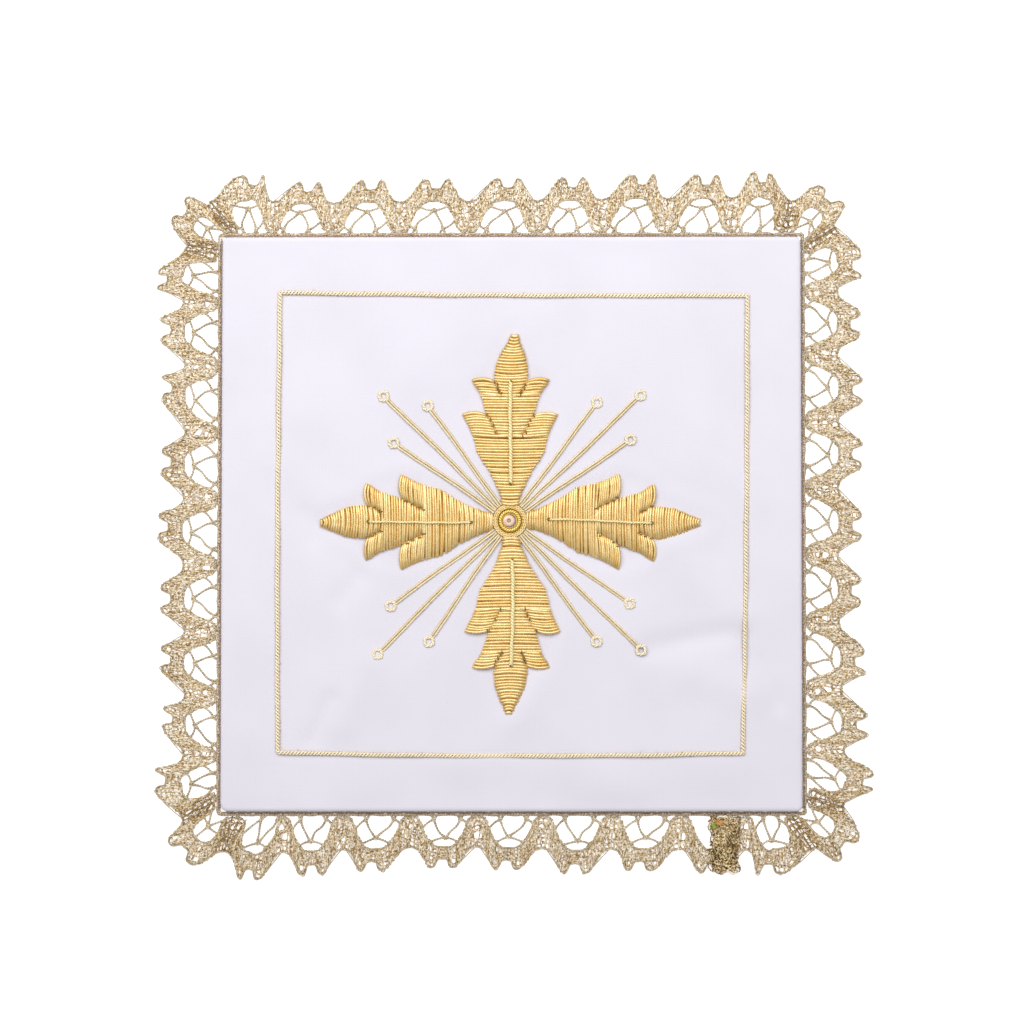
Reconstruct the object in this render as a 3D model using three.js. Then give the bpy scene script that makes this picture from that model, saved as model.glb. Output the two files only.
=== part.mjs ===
// A chalice pall: a stiff white cloth square with a goldwork cross, a couched border
// cord and a gathered gold lace edging. It lies flat with its embroidered face up.
// Units are millimetres. +X is to the right of the face, +Y to its top, +Z up.
// The origin is on the underside, at the middle of the cloth square.

import * as THREE from "three";

// The cloth square, one row for each corner, going round clockwise from the top left.
const PALL_CORNERS = [
  { name: "top_left", x: -79.4, y: 78.9, round: 1.8 },
  { name: "top_right", x: 79.4, y: 79.1, round: 1.8 },
  { name: "bottom_right", x: 80.0, y: -78.9, round: 2.2 },
  { name: "bottom_left", x: -80.0, y: -78.9, round: 3.0 },
];
const PALL_THICKNESS = 3.0;
const PALL_EDGE_ROUND = 1.1;

// The gap that parts neighbouring pieces.
const GAP = 0.3;
const FACE = PALL_THICKNESS + GAP;

// The border cord, hand laid, so its corners are not quite a square. Bow is how far the
// side that starts at a corner, going round clockwise, stands out in its middle.
const BORDER_WIDTH = 1.3;
const BORDER_HEIGHT = 0.9;
const BORDER_CORNERS = [
  { x: -63.5, y: 63.5, bow: -0.35 },
  { x: 64.6, y: 62.7, bow: 0.35 },
  { x: 63.5, y: -62.7, bow: 0.85 },
  { x: -64.3, y: -62.4, bow: 0.35 },
];

// The cross: its middle, and one row for each arm. Reach is from the middle to the
// tip, and lean is how far the tip stands to the left of straight, looking outwards.
const CROSS_MIDDLE = { x: -0.4, y: 1.0 };
const ARMS = [
  { name: "right", turn: 0, reach: 52.1, lean: -0.1 },
  { name: "top", turn: 90, reach: 51.0, lean: -1.2 },
  { name: "left", turn: 180, reach: 52.1, lean: 0.3 },
  { name: "bottom", turn: 270, reach: 53.0, lean: -0.5 },
];
const MEAN_REACH = 52.1;
const LEAF_HEIGHT = 1.2;
const LEAF_EDGE_ROUND = 0.35;

// One half of each part of an arm. Out is measured from the middle of the cross, and
// half is half the width there. The other half is its mirror image.
const INNER_LEAF = [
  { out: 4.9, half: 2.4 },
  { out: 6.9, half: 2.5 },
  { out: 11.8, half: 4.7 },
  { out: 14.4, half: 6.2 },
  { out: 19.0, half: 9.2 },
  { out: 22.3, half: 9.8 },
  { out: 25.9, half: 10.1 },
  { out: 28.0, half: 11.2 },
  { out: 29.8, half: 12.9 },
  { out: 30.4, half: 9.8 },
  { out: 29.8, half: 7.7 },
  { out: 28.9, half: 5.9 },
  { out: 23.6, half: 3.1 },
];
const MIDDLE_LEAF = [
  { out: 23.6, half: 3.1 },
  { out: 28.9, half: 5.9 },
  { out: 33.7, half: 7.1 },
  { out: 36.6, half: 8.3 },
  { out: 39.2, half: 10.7 },
  { out: 39.8, half: 7.7 },
  { out: 38.9, half: 5.6 },
  { out: 38.0, half: 4.1 },
  { out: 35.4, half: 2.6 },
];
const BUD = [
  { out: 35.4, half: 2.6 },
  { out: 38.0, half: 4.1 },
  { out: 40.8, half: 4.5 },
  { out: 44.7, half: 3.7 },
  { out: 48.2, half: 2.2 },
  { out: 51.3, half: 1.0 },
  { out: 52.1, half: 0.5 },
];
const LEAF_PARTS = [
  { name: "inner_leaf", half: INNER_LEAF },
  { name: "middle_leaf", half: MIDDLE_LEAF },
  { name: "bud", half: BUD },
];

// The midrib cord, couched along the top of each arm.
const MIDRIB = { from: 11.5, to: 38.6, width: 0.85, height: 0.7, steps: 6 };

// The rays, three between each two arms. A row gives where the ray leaves the roundel
// and where its ring lies, as a distance from the middle and an angle in degrees.
const RAY_WIDTH = 1.2;
const RAY_HEIGHT = 0.7;
const RAY_START = 6.9;
const RAY_START_SPREAD = 13;
const RAYS = [
  { name: "right_upper_low", start: -1, reach: 39.9, angle: 34.0 },
  { name: "right_upper_mid", start: 0, reach: 49.7, angle: 43.9 },
  { name: "right_upper_high", start: 1, reach: 40.3, angle: 53.7 },
  { name: "left_upper_high", start: -1, reach: 38.8, angle: 125.5 },
  { name: "left_upper_mid", start: 0, reach: 48.7, angle: 135.4 },
  { name: "left_upper_low", start: 1, reach: 38.4, angle: 146.1 },
  { name: "left_lower_high", start: -1, reach: 40.2, angle: 215.5 },
  { name: "left_lower_mid", start: 0, reach: 51.5, angle: 225.2 },
  { name: "left_lower_low", start: 1, reach: 39.9, angle: 236.1 },
  { name: "right_lower_low", start: -1, reach: 40.7, angle: 305.7 },
  { name: "right_lower_mid", start: 0, reach: 50.5, angle: 315.4 },
  { name: "right_lower_high", start: 1, reach: 39.9, angle: 325.4 },
];
const RAY_RING = { outer: 1.7, inner: 0.8, height: 0.8, sides: 10 };

// The roundel in the middle of the cross.
const OUTER_RING = { outer: 4.45, inner: 3.75, height: 0.7, sides: 32 };
const TWIST_RING = { outer: 3.4, inner: 2.05, height: 1.2, sides: 32 };
const BEAD = { outer: 1.7, inner: 0.45, height: 1.4, sides: 20 };

// The lace edging lies flat round the square. One row for each side, going round
// clockwise: at is where the middle of each scallop is, from the middle of the side,
// tip is how far its picots stand out from the cloth, and corner_tip is the same for
// the scallop that turns the corner at the end of the side.
const LACE_THICKNESS = 1.0;
const LACE_SIDES = [
  {
    name: "top",
    at: [-71.2, -56.1, -38.8, -21.0, -1.2, 16.6, 35.5, 53.4, 69.0],
    tip: [17.0, 14.8, 15.5, 15.8, 16.1, 16.2, 17.0, 16.9, 17.7],
    corner_tip: 14.9,
  },
  {
    name: "right",
    at: [-71.5, -55.3, -37.2, -19.6, 0.1, 18.0, 37.5, 55.0, 70.9],
    tip: [16.8, 16.1, 16.7, 16.5, 16.5, 16.1, 17.2, 17.6, 19.6],
    corner_tip: 17.0,
  },
  {
    name: "bottom",
    at: [-70.9, -55.6, -35.5, -17.7, 1.2, 18.8, 38.3, 55.0, 71.6],
    tip: [17.1, 16.9, 16.2, 17.0, 15.8, 15.4, 16.3, 17.3, 18.8],
    corner_tip: 16.6,
  },
  {
    name: "left",
    at: [-70.9, -53.6, -37.5, -20.7, -1.0, 16.9, 37.2, 53.4, 67.9],
    tip: [17.9, 15.7, 16.5, 16.5, 17.4, 16.5, 16.3, 16.7, 18.0],
    corner_tip: 14.6,
  },
];
const MEAN_TIP = 16.5;

// The two ends of the strip are lapped over one scallop of the bottom side.
const JOIN = { side: "bottom", scallop: 1, at: -57.5, width: 8.8, from: 1, to: 16.4 };
const JOIN_HEIGHT = 1.0;

// Half of a scallop. Share runs from its middle, 0, to the valley beside it, 1, and
// back is how far the rim stands back from the tips. Two picots stand on each crest.
const LACE_CREST = [
  { share: 0.0, back: 2.0 },
  { share: 0.15, back: 1.8 },
  { share: 0.3, back: 0.0 },
  { share: 0.43, back: 2.4 },
  { share: 0.68, back: 3.9 },
  { share: 1.0, back: 5.8 },
];
// Half of the arched gap under a crest, and of the narrower gap at a gathered corner,
// by share and by distance out from the cloth on a scallop of the mean reach.
const LACE_GAP = [
  { share: 0.0, out: 10.2 },
  { share: 0.28, out: 9.7 },
  { share: 0.48, out: 7.9 },
  { share: 0.62, out: 5.0 },
  { share: 0.66, out: 2.0 },
];
const CORNER_GAP = [
  { share: 0.0, out: 10.0 },
  { share: 0.26, out: 9.6 },
  { share: 0.48, out: 7.8 },
  { share: 0.5, out: 5.0 },
];

const WHITE_CLOTH = new THREE.MeshStandardMaterial({ color: 0xf2eff8, roughness: 0.85 });
const GOLD_PURL = new THREE.MeshStandardMaterial({
  color: 0xe0b45a,
  roughness: 0.35,
  metalness: 0.9,
});
const PALE_GOLD = new THREE.MeshStandardMaterial({
  color: 0xe8cf8c,
  roughness: 0.45,
  metalness: 0.6,
});
const GOLD_LACE = new THREE.MeshStandardMaterial({
  color: 0xc4a874,
  roughness: 0.55,
  metalness: 0.5,
});
const PEARL = new THREE.MeshStandardMaterial({ color: 0xf0dcd2, roughness: 0.25 });

const pall = new THREE.Group();

function add(name, geometry, material) {
  const mesh = new THREE.Mesh(geometry, material);
  mesh.name = name;
  pall.add(mesh);
  return mesh;
}

const polar = (radius, degrees) => {
  const angle = THREE.MathUtils.degToRad(degrees);
  return new THREE.Vector2(radius * Math.cos(angle), radius * Math.sin(angle));
};

// A flat piece with this outline, whose upper and lower edges are rounded by round
// and whose side stands inside the outline by inset.
function slab(shape, bottom, height, round, inset = 0, roundSteps = 1) {
  const geometry = new THREE.ExtrudeGeometry(shape, {
    depth: height - 2 * round,
    curveSegments: 4,
    bevelEnabled: round > 0,
    bevelThickness: round,
    bevelSize: round,
    bevelOffset: -round - inset,
    bevelSegments: roundSteps,
  });
  return geometry.translate(0, 0, bottom + round);
}

// A thread laid along a path, with an oval section of eight sides.
function thread(points, width, height, steps) {
  const section = new THREE.Shape();
  section.absellipse(0, 0, height / 2, width / 2, 0, 2 * Math.PI);
  const outline = new THREE.Shape(section.getPoints(8).slice(0, 8));
  return new THREE.ExtrudeGeometry(outline, {
    steps,
    extrudePath: new THREE.CatmullRomCurve3(points),
  });
}

// A ring that lies flat on bottom, with its upper and lower edges taken off.
function ring({ outer, inner, height, sides }, bottom) {
  const middle = (outer + inner) / 2;
  const wide = (outer - inner) / 2;
  const profile = [
    [-0.5, 0],
    [0.5, 0],
    [1, 0.3],
    [1, 0.7],
    [0.5, 1],
    [-0.5, 1],
    [-1, 0.7],
    [-1, 0.3],
    [-0.5, 0],
  ].map(([across, up]) => new THREE.Vector2(middle + across * wide, up * height));
  const geometry = new THREE.LatheGeometry(profile, sides);
  return geometry.rotateX(Math.PI / 2).translate(0, 0, bottom);
}

// The cloth square.
function roundedOutline(corners) {
  const shape = new THREE.Shape();
  corners.forEach((corner, i) => {
    const before = corners[(i + corners.length - 1) % corners.length];
    const after = corners[(i + 1) % corners.length];
    const here = new THREE.Vector2(corner.x, corner.y);
    const towards = (other) =>
      new THREE.Vector2(other.x, other.y).sub(here).setLength(corner.round).add(here);
    const entry = towards(before);
    const exit = towards(after);
    if (i === 0) shape.moveTo(entry.x, entry.y);
    else shape.lineTo(entry.x, entry.y);
    shape.quadraticCurveTo(here.x, here.y, exit.x, exit.y);
  });
  shape.closePath();
  return shape;
}

function makePall() {
  const square = roundedOutline(PALL_CORNERS);
  add("pall_body", slab(square, 0, PALL_THICKNESS, PALL_EDGE_ROUND, 0, 3), WHITE_CLOTH);
}

// The border cord: a square loop whose sides bow a little.
function borderLoop(offset) {
  const points = [];
  BORDER_CORNERS.forEach((corner, i) => {
    const next = BORDER_CORNERS[(i + 1) % BORDER_CORNERS.length];
    const here = new THREE.Vector2(corner.x, corner.y);
    const there = new THREE.Vector2(next.x, next.y);
    const outwards = new THREE.Vector2(Math.sign(corner.x), Math.sign(corner.y));
    points.push(here.clone().addScaledVector(outwards, offset));
    const middle = here.clone().lerp(there, 0.5);
    points.push(middle.setLength(middle.length() + offset + corner.bow));
  });
  return points;
}

function makeBorderCord() {
  const shape = new THREE.Shape(borderLoop(BORDER_WIDTH / 2).reverse());
  shape.holes.push(new THREE.Path(borderLoop(-BORDER_WIDTH / 2)));
  add("border_cord", slab(shape, FACE, BORDER_HEIGHT, 0.2), PALE_GOLD);
}

// The four leaf arms.
const leanAt = (arm, out) => arm.lean * (out / MEAN_REACH) ** 2;

function leafOutline(half, arm) {
  const stretch = arm.reach / MEAN_REACH;
  const side = (sign) =>
    half.map((row) => {
      const across = sign * row.half + leanAt(arm, row.out);
      return new THREE.Vector2(row.out * stretch, across);
    });
  return new THREE.Shape([...side(-1), ...side(1).reverse()]);
}

function makeArm(arm) {
  const place = (mesh) => {
    mesh.position.set(CROSS_MIDDLE.x, CROSS_MIDDLE.y, 0);
    mesh.rotation.z = THREE.MathUtils.degToRad(arm.turn);
  };
  LEAF_PARTS.forEach((part) => {
    const outline = leafOutline(part.half, arm);
    const leaf = slab(outline, FACE, LEAF_HEIGHT, LEAF_EDGE_ROUND, GAP / 2);
    place(add(`${arm.name}_${part.name}`, leaf, GOLD_PURL));
  });
  const ribHeight = FACE + LEAF_HEIGHT + GAP + MIDRIB.height / 2;
  const ribPoints = [];
  for (let i = 0; i <= MIDRIB.steps; i += 1) {
    const out = THREE.MathUtils.lerp(MIDRIB.from, MIDRIB.to, i / MIDRIB.steps);
    ribPoints.push(new THREE.Vector3(out, leanAt(arm, out), ribHeight));
  }
  const rib = thread(ribPoints, MIDRIB.width, MIDRIB.height, MIDRIB.steps);
  place(add(`${arm.name}_midrib`, rib, PALE_GOLD));
}

// The rays and the little ring at the end of each.
function makeRay(ray) {
  const quarter = Math.floor(ray.angle / 90) * 90 + 45;
  const start = polar(RAY_START, quarter + ray.start * RAY_START_SPREAD);
  const ringMiddle = polar(ray.reach, ray.angle);
  const along = ringMiddle.clone().sub(start);
  const end = start.clone().add(along.setLength(along.length() - RAY_RING.outer - GAP));
  const level = FACE + RAY_HEIGHT / 2;
  const points = [start, end].map((p) => new THREE.Vector3(p.x, p.y, level));
  const bar = add(`ray_${ray.name}`, thread(points, RAY_WIDTH, RAY_HEIGHT, 1), GOLD_PURL);
  bar.position.set(CROSS_MIDDLE.x, CROSS_MIDDLE.y, 0);
  const loop = add(`ring_${ray.name}`, ring(RAY_RING, FACE), PALE_GOLD);
  loop.position.set(CROSS_MIDDLE.x + ringMiddle.x, CROSS_MIDDLE.y + ringMiddle.y, 0);
}

// The roundel.
function makeRoundel() {
  const parts = [
    { name: "roundel_outer_ring", size: OUTER_RING, material: PALE_GOLD },
    { name: "roundel_twist_ring", size: TWIST_RING, material: GOLD_PURL },
    { name: "centre_bead", size: BEAD, material: PEARL },
  ];
  parts.forEach((part) => {
    const mesh = add(part.name, ring(part.size, FACE), part.material);
    mesh.position.set(CROSS_MIDDLE.x, CROSS_MIDDLE.y, 0);
  });
}

// The lace edging. A side runs between two corners of the cloth, clockwise.
function laceSide(i) {
  const clear = (corner) =>
    new THREE.Vector2(
      corner.x + GAP * Math.sign(corner.x),
      corner.y + GAP * Math.sign(corner.y),
    );
  const from = clear(PALL_CORNERS[i]);
  const to = clear(PALL_CORNERS[(i + 1) % PALL_CORNERS.length]);
  const along = to.clone().sub(from).normalize();
  return {
    from,
    to,
    along,
    outwards: new THREE.Vector2(-along.y, along.x),
    half: from.distanceTo(to) / 2,
    middle: from.clone().lerp(to, 0.5),
  };
}

// Each scallop has its reach, its gap and a function that turns a share and a distance
// out from the cloth into a point.
function scallopsOfSide(i) {
  const side = laceSide(i);
  const { name, at, tip, corner_tip: cornerTip } = LACE_SIDES[i];
  const stops = [-side.half, ...at, side.half];
  const made = at.map((middle, n) => {
    const before = n === 0 ? stops[0] : (stops[n] + middle) / 2;
    const after = n === at.length - 1 ? stops[n + 2] : (middle + stops[n + 2]) / 2;
    const place = (share, out) => {
      const reach = share < 0 ? middle - before : after - middle;
      const point = side.middle.clone().addScaledVector(side.along, middle + share * reach);
      return point.addScaledVector(side.outwards, out - GAP);
    };
    const joined = name === JOIN.side && n === JOIN.scallop;
    return { place, tip: tip[n], gap: LACE_GAP, joined };
  });
  const next = laceSide((i + 1) % LACE_SIDES.length);
  const fan = (share, out) => {
    const turned = ((share + 1) * Math.PI) / 4;
    const way = side.outwards.clone().multiplyScalar(Math.cos(turned));
    way.addScaledVector(next.outwards, Math.sin(turned));
    return side.to.clone().addScaledVector(way, out - GAP);
  };
  made.push({ place: fan, tip: cornerTip, gap: CORNER_GAP, joined: false });
  return made;
}

// Both halves of a table in one row, from the left of a scallop to its right.
const bothSides = (half) => [
  ...half.slice(1).reverse().map((row) => ({ ...row, share: -row.share })),
  ...half,
];

function makeLace() {
  const scallops = LACE_SIDES.flatMap((_, i) => scallopsOfSide(i));
  const rim = scallops.flatMap(({ place, tip }) =>
    bothSides(LACE_CREST)
      .slice(1)
      .map(({ share, back }) => place(share, tip - back)),
  );
  const shape = new THREE.Shape(rim.reverse());
  const foot = PALL_CORNERS.map((corner, i) => {
    const { x, y } = laceSide(i).from;
    return { x, y, round: corner.round };
  });
  shape.holes.push(roundedOutline(foot));
  scallops.forEach(({ place, tip, gap, joined }) => {
    if (joined) return;
    const stretch = tip / MEAN_TIP;
    const points = bothSides(gap).map(({ share, out }) => place(share, out * stretch));
    shape.holes.push(new THREE.Path(points));
  });
  add("lace_edging", slab(shape, 0, LACE_THICKNESS, 0), GOLD_LACE);
}

function makeLaceJoin() {
  const side = laceSide(LACE_SIDES.findIndex((row) => row.name === JOIN.side));
  const corner = (across, out) => {
    const point = side.middle.clone();
    point.addScaledVector(side.along, JOIN.at + across * JOIN.width);
    point.addScaledVector(side.outwards, out);
    return { x: point.x, y: point.y, round: 1.5 };
  };
  const lap = [
    corner(-0.5, JOIN.from),
    corner(0.5, JOIN.from),
    corner(0.42, JOIN.to),
    corner(-0.42, JOIN.to),
  ];
  const bottom = LACE_THICKNESS + GAP;
  add("lace_join", slab(roundedOutline(lap), bottom, JOIN_HEIGHT, 0.3), GOLD_LACE);
}

makePall();
makeBorderCord();
ARMS.forEach(makeArm);
RAYS.forEach(makeRay);
makeRoundel();
makeLace();
makeLaceJoin();

export default pall;
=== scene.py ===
"""A chalice pall: white cloth, a goldwork cross, a couched border cord and gold lace.

It is laid out as an add-on and run as a script. Each group of pieces has its operator,
and the sizes and colours that a user would change are properties of the scene.
"""

import math

import bpy
import numpy as np
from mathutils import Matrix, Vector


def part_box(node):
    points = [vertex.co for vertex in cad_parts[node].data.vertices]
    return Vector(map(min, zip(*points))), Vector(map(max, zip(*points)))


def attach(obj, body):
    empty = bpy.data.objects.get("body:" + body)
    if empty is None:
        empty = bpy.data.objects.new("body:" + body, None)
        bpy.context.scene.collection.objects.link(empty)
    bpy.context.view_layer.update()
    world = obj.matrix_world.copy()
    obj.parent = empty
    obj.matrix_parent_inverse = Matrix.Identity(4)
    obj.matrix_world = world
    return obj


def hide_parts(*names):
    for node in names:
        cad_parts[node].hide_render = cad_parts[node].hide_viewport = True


bl_info = {
    "name": "Chalice pall",
    "version": (1, 0, 0),
    "blender": (4, 5, 0),
    "location": "3D View > Sidebar > Pall",
    "description": "Makes a chalice pall with a goldwork cross and a gathered gold lace edging",
    "category": "Add Mesh",
}

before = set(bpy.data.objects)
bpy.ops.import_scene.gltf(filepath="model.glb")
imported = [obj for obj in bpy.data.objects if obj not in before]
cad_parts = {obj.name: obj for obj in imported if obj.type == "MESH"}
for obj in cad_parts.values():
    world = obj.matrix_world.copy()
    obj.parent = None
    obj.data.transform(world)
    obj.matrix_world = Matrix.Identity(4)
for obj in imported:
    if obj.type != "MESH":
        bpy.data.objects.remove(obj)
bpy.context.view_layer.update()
BODY = "root"
MM = 0.001

# Heights from the frame. All sizes and places up to the next heading are in millimetres.
CLOTH_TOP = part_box("pall_body")[1].z / MM
LEAF_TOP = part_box("top_inner_leaf")[1].z / MM

# The cloth square's corners, clockwise from the top left, and how round each is.
PALL_CORNERS = [
    {"x": -79.4, "y": 78.9, "round": 1.4},
    {"x": 79.4, "y": 79.1, "round": 1.4},
    {"x": 80.0, "y": -78.9, "round": 1.5},
    {"x": -80.0, "y": -78.9, "round": 2.2},
]

# How round the square's rim is, the span that its grid is spaced for, how far in from the
# edge the grid's finer lines lie, and how wide a margin of the cloth lies flatter.
PALL_EDGE_ROUND = 1.1
CLOTH_SPAN = 160.0
CLOTH_FINE_LINES = [0, 0.35, 0.75, 1.25, 1.8, 2.5]
CLOTH_MARGIN = 5

# Soft ridges and troughs of the cloth, each along a line: where it starts and ends,
# how wide it is and how high, less than nothing for a trough.
CREASES = [
    {"start": (44.9, -4.3), "end": (61.3, -27.6), "width": 6.5, "height": 0.80},
    {"start": (37.0, -34.0), "end": (63.5, -28.8), "width": 3.2, "height": -0.76},
    {"start": (64.1, -31.7), "end": (73.0, -49.0), "width": 3.0, "height": -0.65},
    {"start": (50.0, -40.5), "end": (66.0, -46.0), "width": 6.0, "height": 0.61},
    {"start": (-49.5, -48.0), "end": (-54.8, -59.5), "width": 2.2, "height": -0.57},
    {"start": (-40.2, -39.0), "end": (-47.0, -55.0), "width": 4.5, "height": 0.53},
    {"start": (8.5, -43.0), "end": (-4.5, -59.6), "width": 5.5, "height": 0.49},
    {"start": (-56.5, 2.6), "end": (-54.2, -3.0), "width": 3.4, "height": -0.65},
    {"start": (-42.0, -14.5), "end": (-47.0, -20.5), "width": 3.0, "height": -0.46},
    {"start": (-66.0, 18.0), "end": (-52.0, 9.0), "width": 5.0, "height": 0.30},
    {"start": (66.0, 6.0), "end": (60.0, 14.0), "width": 4.0, "height": 0.23},
    {"start": (-20.0, -66.0), "end": (30.0, -70.0), "width": 5.5, "height": 0.27},
]

# The border cord's corners, clockwise from the top left, and how far the side from each
# to the next stands out in its middle. Its sides are about 63.5 from the cloth's middle,
# and a stitch couches it down every 2.3.
BORDER_CORNERS = [(-63.4, 63.6), (64.6, 62.9), (63.5, -62.7), (-64.1, -62.5)]
BORDER_BOWS = [-0.35, 0.4, 0.85, 0.35]
BORDER_OUT = 63.5
BORDER_STEP = 2.3

# The cross. Turn is an arm's angle in degrees, and reach is from the middle to its tip.
# Lean, bow and wave are how far its middle line stands to the left of straight, looking
# outwards: at its tip, halfway as a bow, and as a wave to the left and then to the right.
# Slant is how far its stitches wander from square, in degrees. Rib and fine scale its
# midrib and its stitches.
CROSS_MIDDLE = np.array([-0.4, 1.0])
MEAN_REACH = 52.1
ARMS = [
    {"name": "right", "turn": 0, "reach": 52.1, "lean": -0.4, "bow": 0.0, "wave": 0.45},
    {"name": "top", "turn": 90, "reach": 51.0, "lean": -1.3, "bow": 0.0, "wave": -0.2},
    {"name": "left", "turn": 180, "reach": 52.1, "lean": 0.55, "bow": 0.35, "wave": 0.2},
    {"name": "bottom", "turn": 270, "reach": 53.0, "lean": -0.36, "bow": 0.75, "wave": 0.15},
]
LEVEL_WORK = {"slant": 2.0, "rib": 0.8, "fine": 0.8}
UPRIGHT_WORK = {"slant": 0.8, "rib": 1.4, "fine": 0.96}
for row, work in zip(ARMS, (LEVEL_WORK, UPRIGHT_WORK) * 2):
    row.update(work)

# Half of an arm's parts, as (distance out, half the width there). A part's body has
# stitches right across it, and its lobes have stitches from the seam to the edge.
INNER_BODY = [
    (4.95, 2.3), (6.9, 2.6), (11.8, 4.6), (14.4, 6.1), (18.6, 8.9), (22.3, 9.8), (23.8, 10.2),
]
INNER_LOBE = {
    "seam": [(23.6, 3.4), (28.2, 5.5), (29.4, 6.5)],
    "edge": [(24.2, 10.3), (26.0, 11.0), (28.1, 12.1), (29.6, 12.9)],
}
MIDDLE_BODY = [(24.0, 3.3), (28.9, 5.8), (30.7, 6.6), (33.3, 7.5), (35.2, 8.0)]
MIDDLE_LOBE = {
    "seam": [(35.3, 2.7), (38.8, 4.3)],
    "edge": [(35.7, 8.1), (37.0, 8.9), (38.4, 10.0), (39.3, 10.4)],
}
BUD_BODY = [
    (35.4, 2.5), (38.0, 4.0), (40.8, 4.5), (44.7, 4.0), (47.2, 3.0), (49.6, 1.8), (51.9, 0.8),
]

# The bead sits a little to the left in its rings.
BEAD_MIDDLE = CROSS_MIDDLE + (-0.3, 0.05)

# Where a midrib starts and ends, as distances out from the cross's middle.
MIDRIB_RUN = (10.6, 38.9)

# Each quarter's rays: how far from the cross's middle they start, the degrees from one to
# the next, how far before its ring's middle a ray ends, and the quarters' own angles.
RAY_START = 4.9
RAY_SPREAD = 13
RAY_SHORT = 1.15
RAYS = {
    "right_upper": (45, ("low", "mid", "high")),
    "left_upper": (135, ("high", "mid", "low")),
    "left_lower": (225, ("high", "mid", "low")),
    "right_lower": (315, ("low", "mid", "high")),
}

# The ring at a ray's end: its radius and the way round it, which takes four turns of twist.
RING_RADIUS = 1.2
RING_ROUND = 7.54

# Twisted cords of two plies: a ply's radius, and how far it swings sideways and up.
LACE_PLAIT = (0.15, 0.16, 0.12)
BORDER_TWIST = (0.28, 0.39, 0.24)
MIDRIB_TWIST = (0.23, 0.21, 0.15)
RING_TWIST = (0.26, 0.26, 0.17)

# The roundel's rings from the outside in: radius, height above the cloth, number of turns
# of the twist and the plies as above.
PALE_RINGS = [
    ("outer_a", 4.43, 0.40, 16, (0.21, 0.16, 0.13)),
    ("outer_b", 3.94, 0.46, 14, (0.19, 0.13, 0.12)),
]
GOLD_RINGS = [
    ("gold_thin", 3.52, 0.50, 13, (0.15, 0.11, 0.10)),
    ("gold_thick", 2.62, 0.66, 13, (0.38, 0.32, 0.26)),
    ("gold_inner", 1.93, 0.60, 9, (0.14, 0.10, 0.10)),
]

# The bead's closed outline from the bottom of its hole, as (radius, height).
BEAD_OUTLINE = [
    (0.42, 0.15), (1.1, 0.1), (1.55, 0.35), (1.68, 0.75), (1.55, 1.1), (1.2, 1.32),
    (0.8, 1.38), (0.52, 1.3), (0.42, 1.1),
]

# A couching stitch from side to side over a cord, as (sideways, forwards, up).
BORDER_COUCHING = [
    (-0.66, -0.12, -0.35), (-0.45, -0.06, 0.16), (0, 0, 0.44), (0.45, 0.06, 0.16),
    (0.66, 0.12, -0.35),
]
RAY_COUCHING = [
    (-0.6, -0.15, 0.1), (-0.48, -0.12, 0.5), (0, 0, 0.66), (0.48, 0.12, 0.5), (0.6, 0.15, 0.1),
]

# The lace, clockwise from the top left. At is where the middle of each scallop's crest
# is, from the middle of the side, tip is how far its picots stand out from the cloth,
# and lean is how far it slants along the side for each millimetre out. The last tip is
# that of the scallop that turns the corner, and turn is where that one starts and ends,
# in degrees from straight out.
LACE_SIDES = [
    {
        "name": "top",
        "at": [-71.2, -56.1, -38.8, -21.0, -1.2, 16.6, 35.5, 53.4, 69.0],
        "tip": [17.0, 14.8, 15.5, 15.8, 16.1, 16.2, 17.0, 16.9, 17.7, 14.9],
        "lean": [0.42, 0.33, 0.17, 0.12, 0.13, 0.12, 0.34, 0.18, 0.0],
        "turn": (-14, 73),
    },
    {
        "name": "right",
        "at": [-71.5, -55.3, -37.2, -19.6, 0.1, 18.0, 37.5, 55.0, 70.9],
        "tip": [16.8, 16.1, 16.7, 16.5, 16.5, 16.1, 17.2, 17.6, 19.6, 17.0],
        "lean": [0.28, 0.04, 0.08, -0.05, 0.15, 0.06, 0.20, 0.11, 0.06],
        "turn": (-8, 72),
    },
    {
        "name": "bottom",
        "at": [-70.9, -55.6, -35.5, -17.7, 1.2, 18.8, 38.3, 55.0, 71.6],
        "tip": [17.1, 16.9, 16.2, 17.0, 15.8, 15.4, 16.3, 17.3, 18.8, 16.6],
        "lean": [0.34, 0.10, 0.23, 0.04, 0.12, 0.04, 0.17, -0.09, 0.22],
        "turn": (-5, 78),
    },
    {
        "name": "left",
        "at": [-70.9, -53.6, -37.5, -20.7, -1.0, 16.9, 37.2, 53.4, 67.9],
        "tip": [17.9, 15.7, 16.5, 16.5, 17.4, 16.5, 16.3, 16.7, 18.0, 14.6],
        "lean": [0.25, 0.29, 0.18, -0.06, 0.17, 0.11, 0.45, 0.07, -0.27],
        "turn": (-14, 67),
    },
]
MEAN_TIP = 16.5
MEAN_VALLEY = 10.3
SCALLOPS_A_SIDE = 10

# How far out from the cloth the crests' places are measured, and how far in from there a
# valley lies halfway between its crests.
CREST_OUT = 13.2
VALLEY_IN = 5.8

# How far the feet of the lace's valleys beside a corner are drawn away from it, and how
# much of that each share of the scallop beside it takes, from its far end to the corner.
CORNER_DRAW = 3.6
CORNER_SPREAD = ([-1, 0, 0.75, 1], [0, 1.2, 1.5, 1])

# How much painted shade darkens the lace's tone where it is crowded beside a corner, how
# much further on a corner's crest lies for each millimetre out, and how much the wefts slant
# across the band on a scallop's slopes. The last two are shares of the way to a valley.
CORNER_SHADE = 0.9
CORNER_LEAN = 0.011
BAND_SLANT = 0.10

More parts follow.
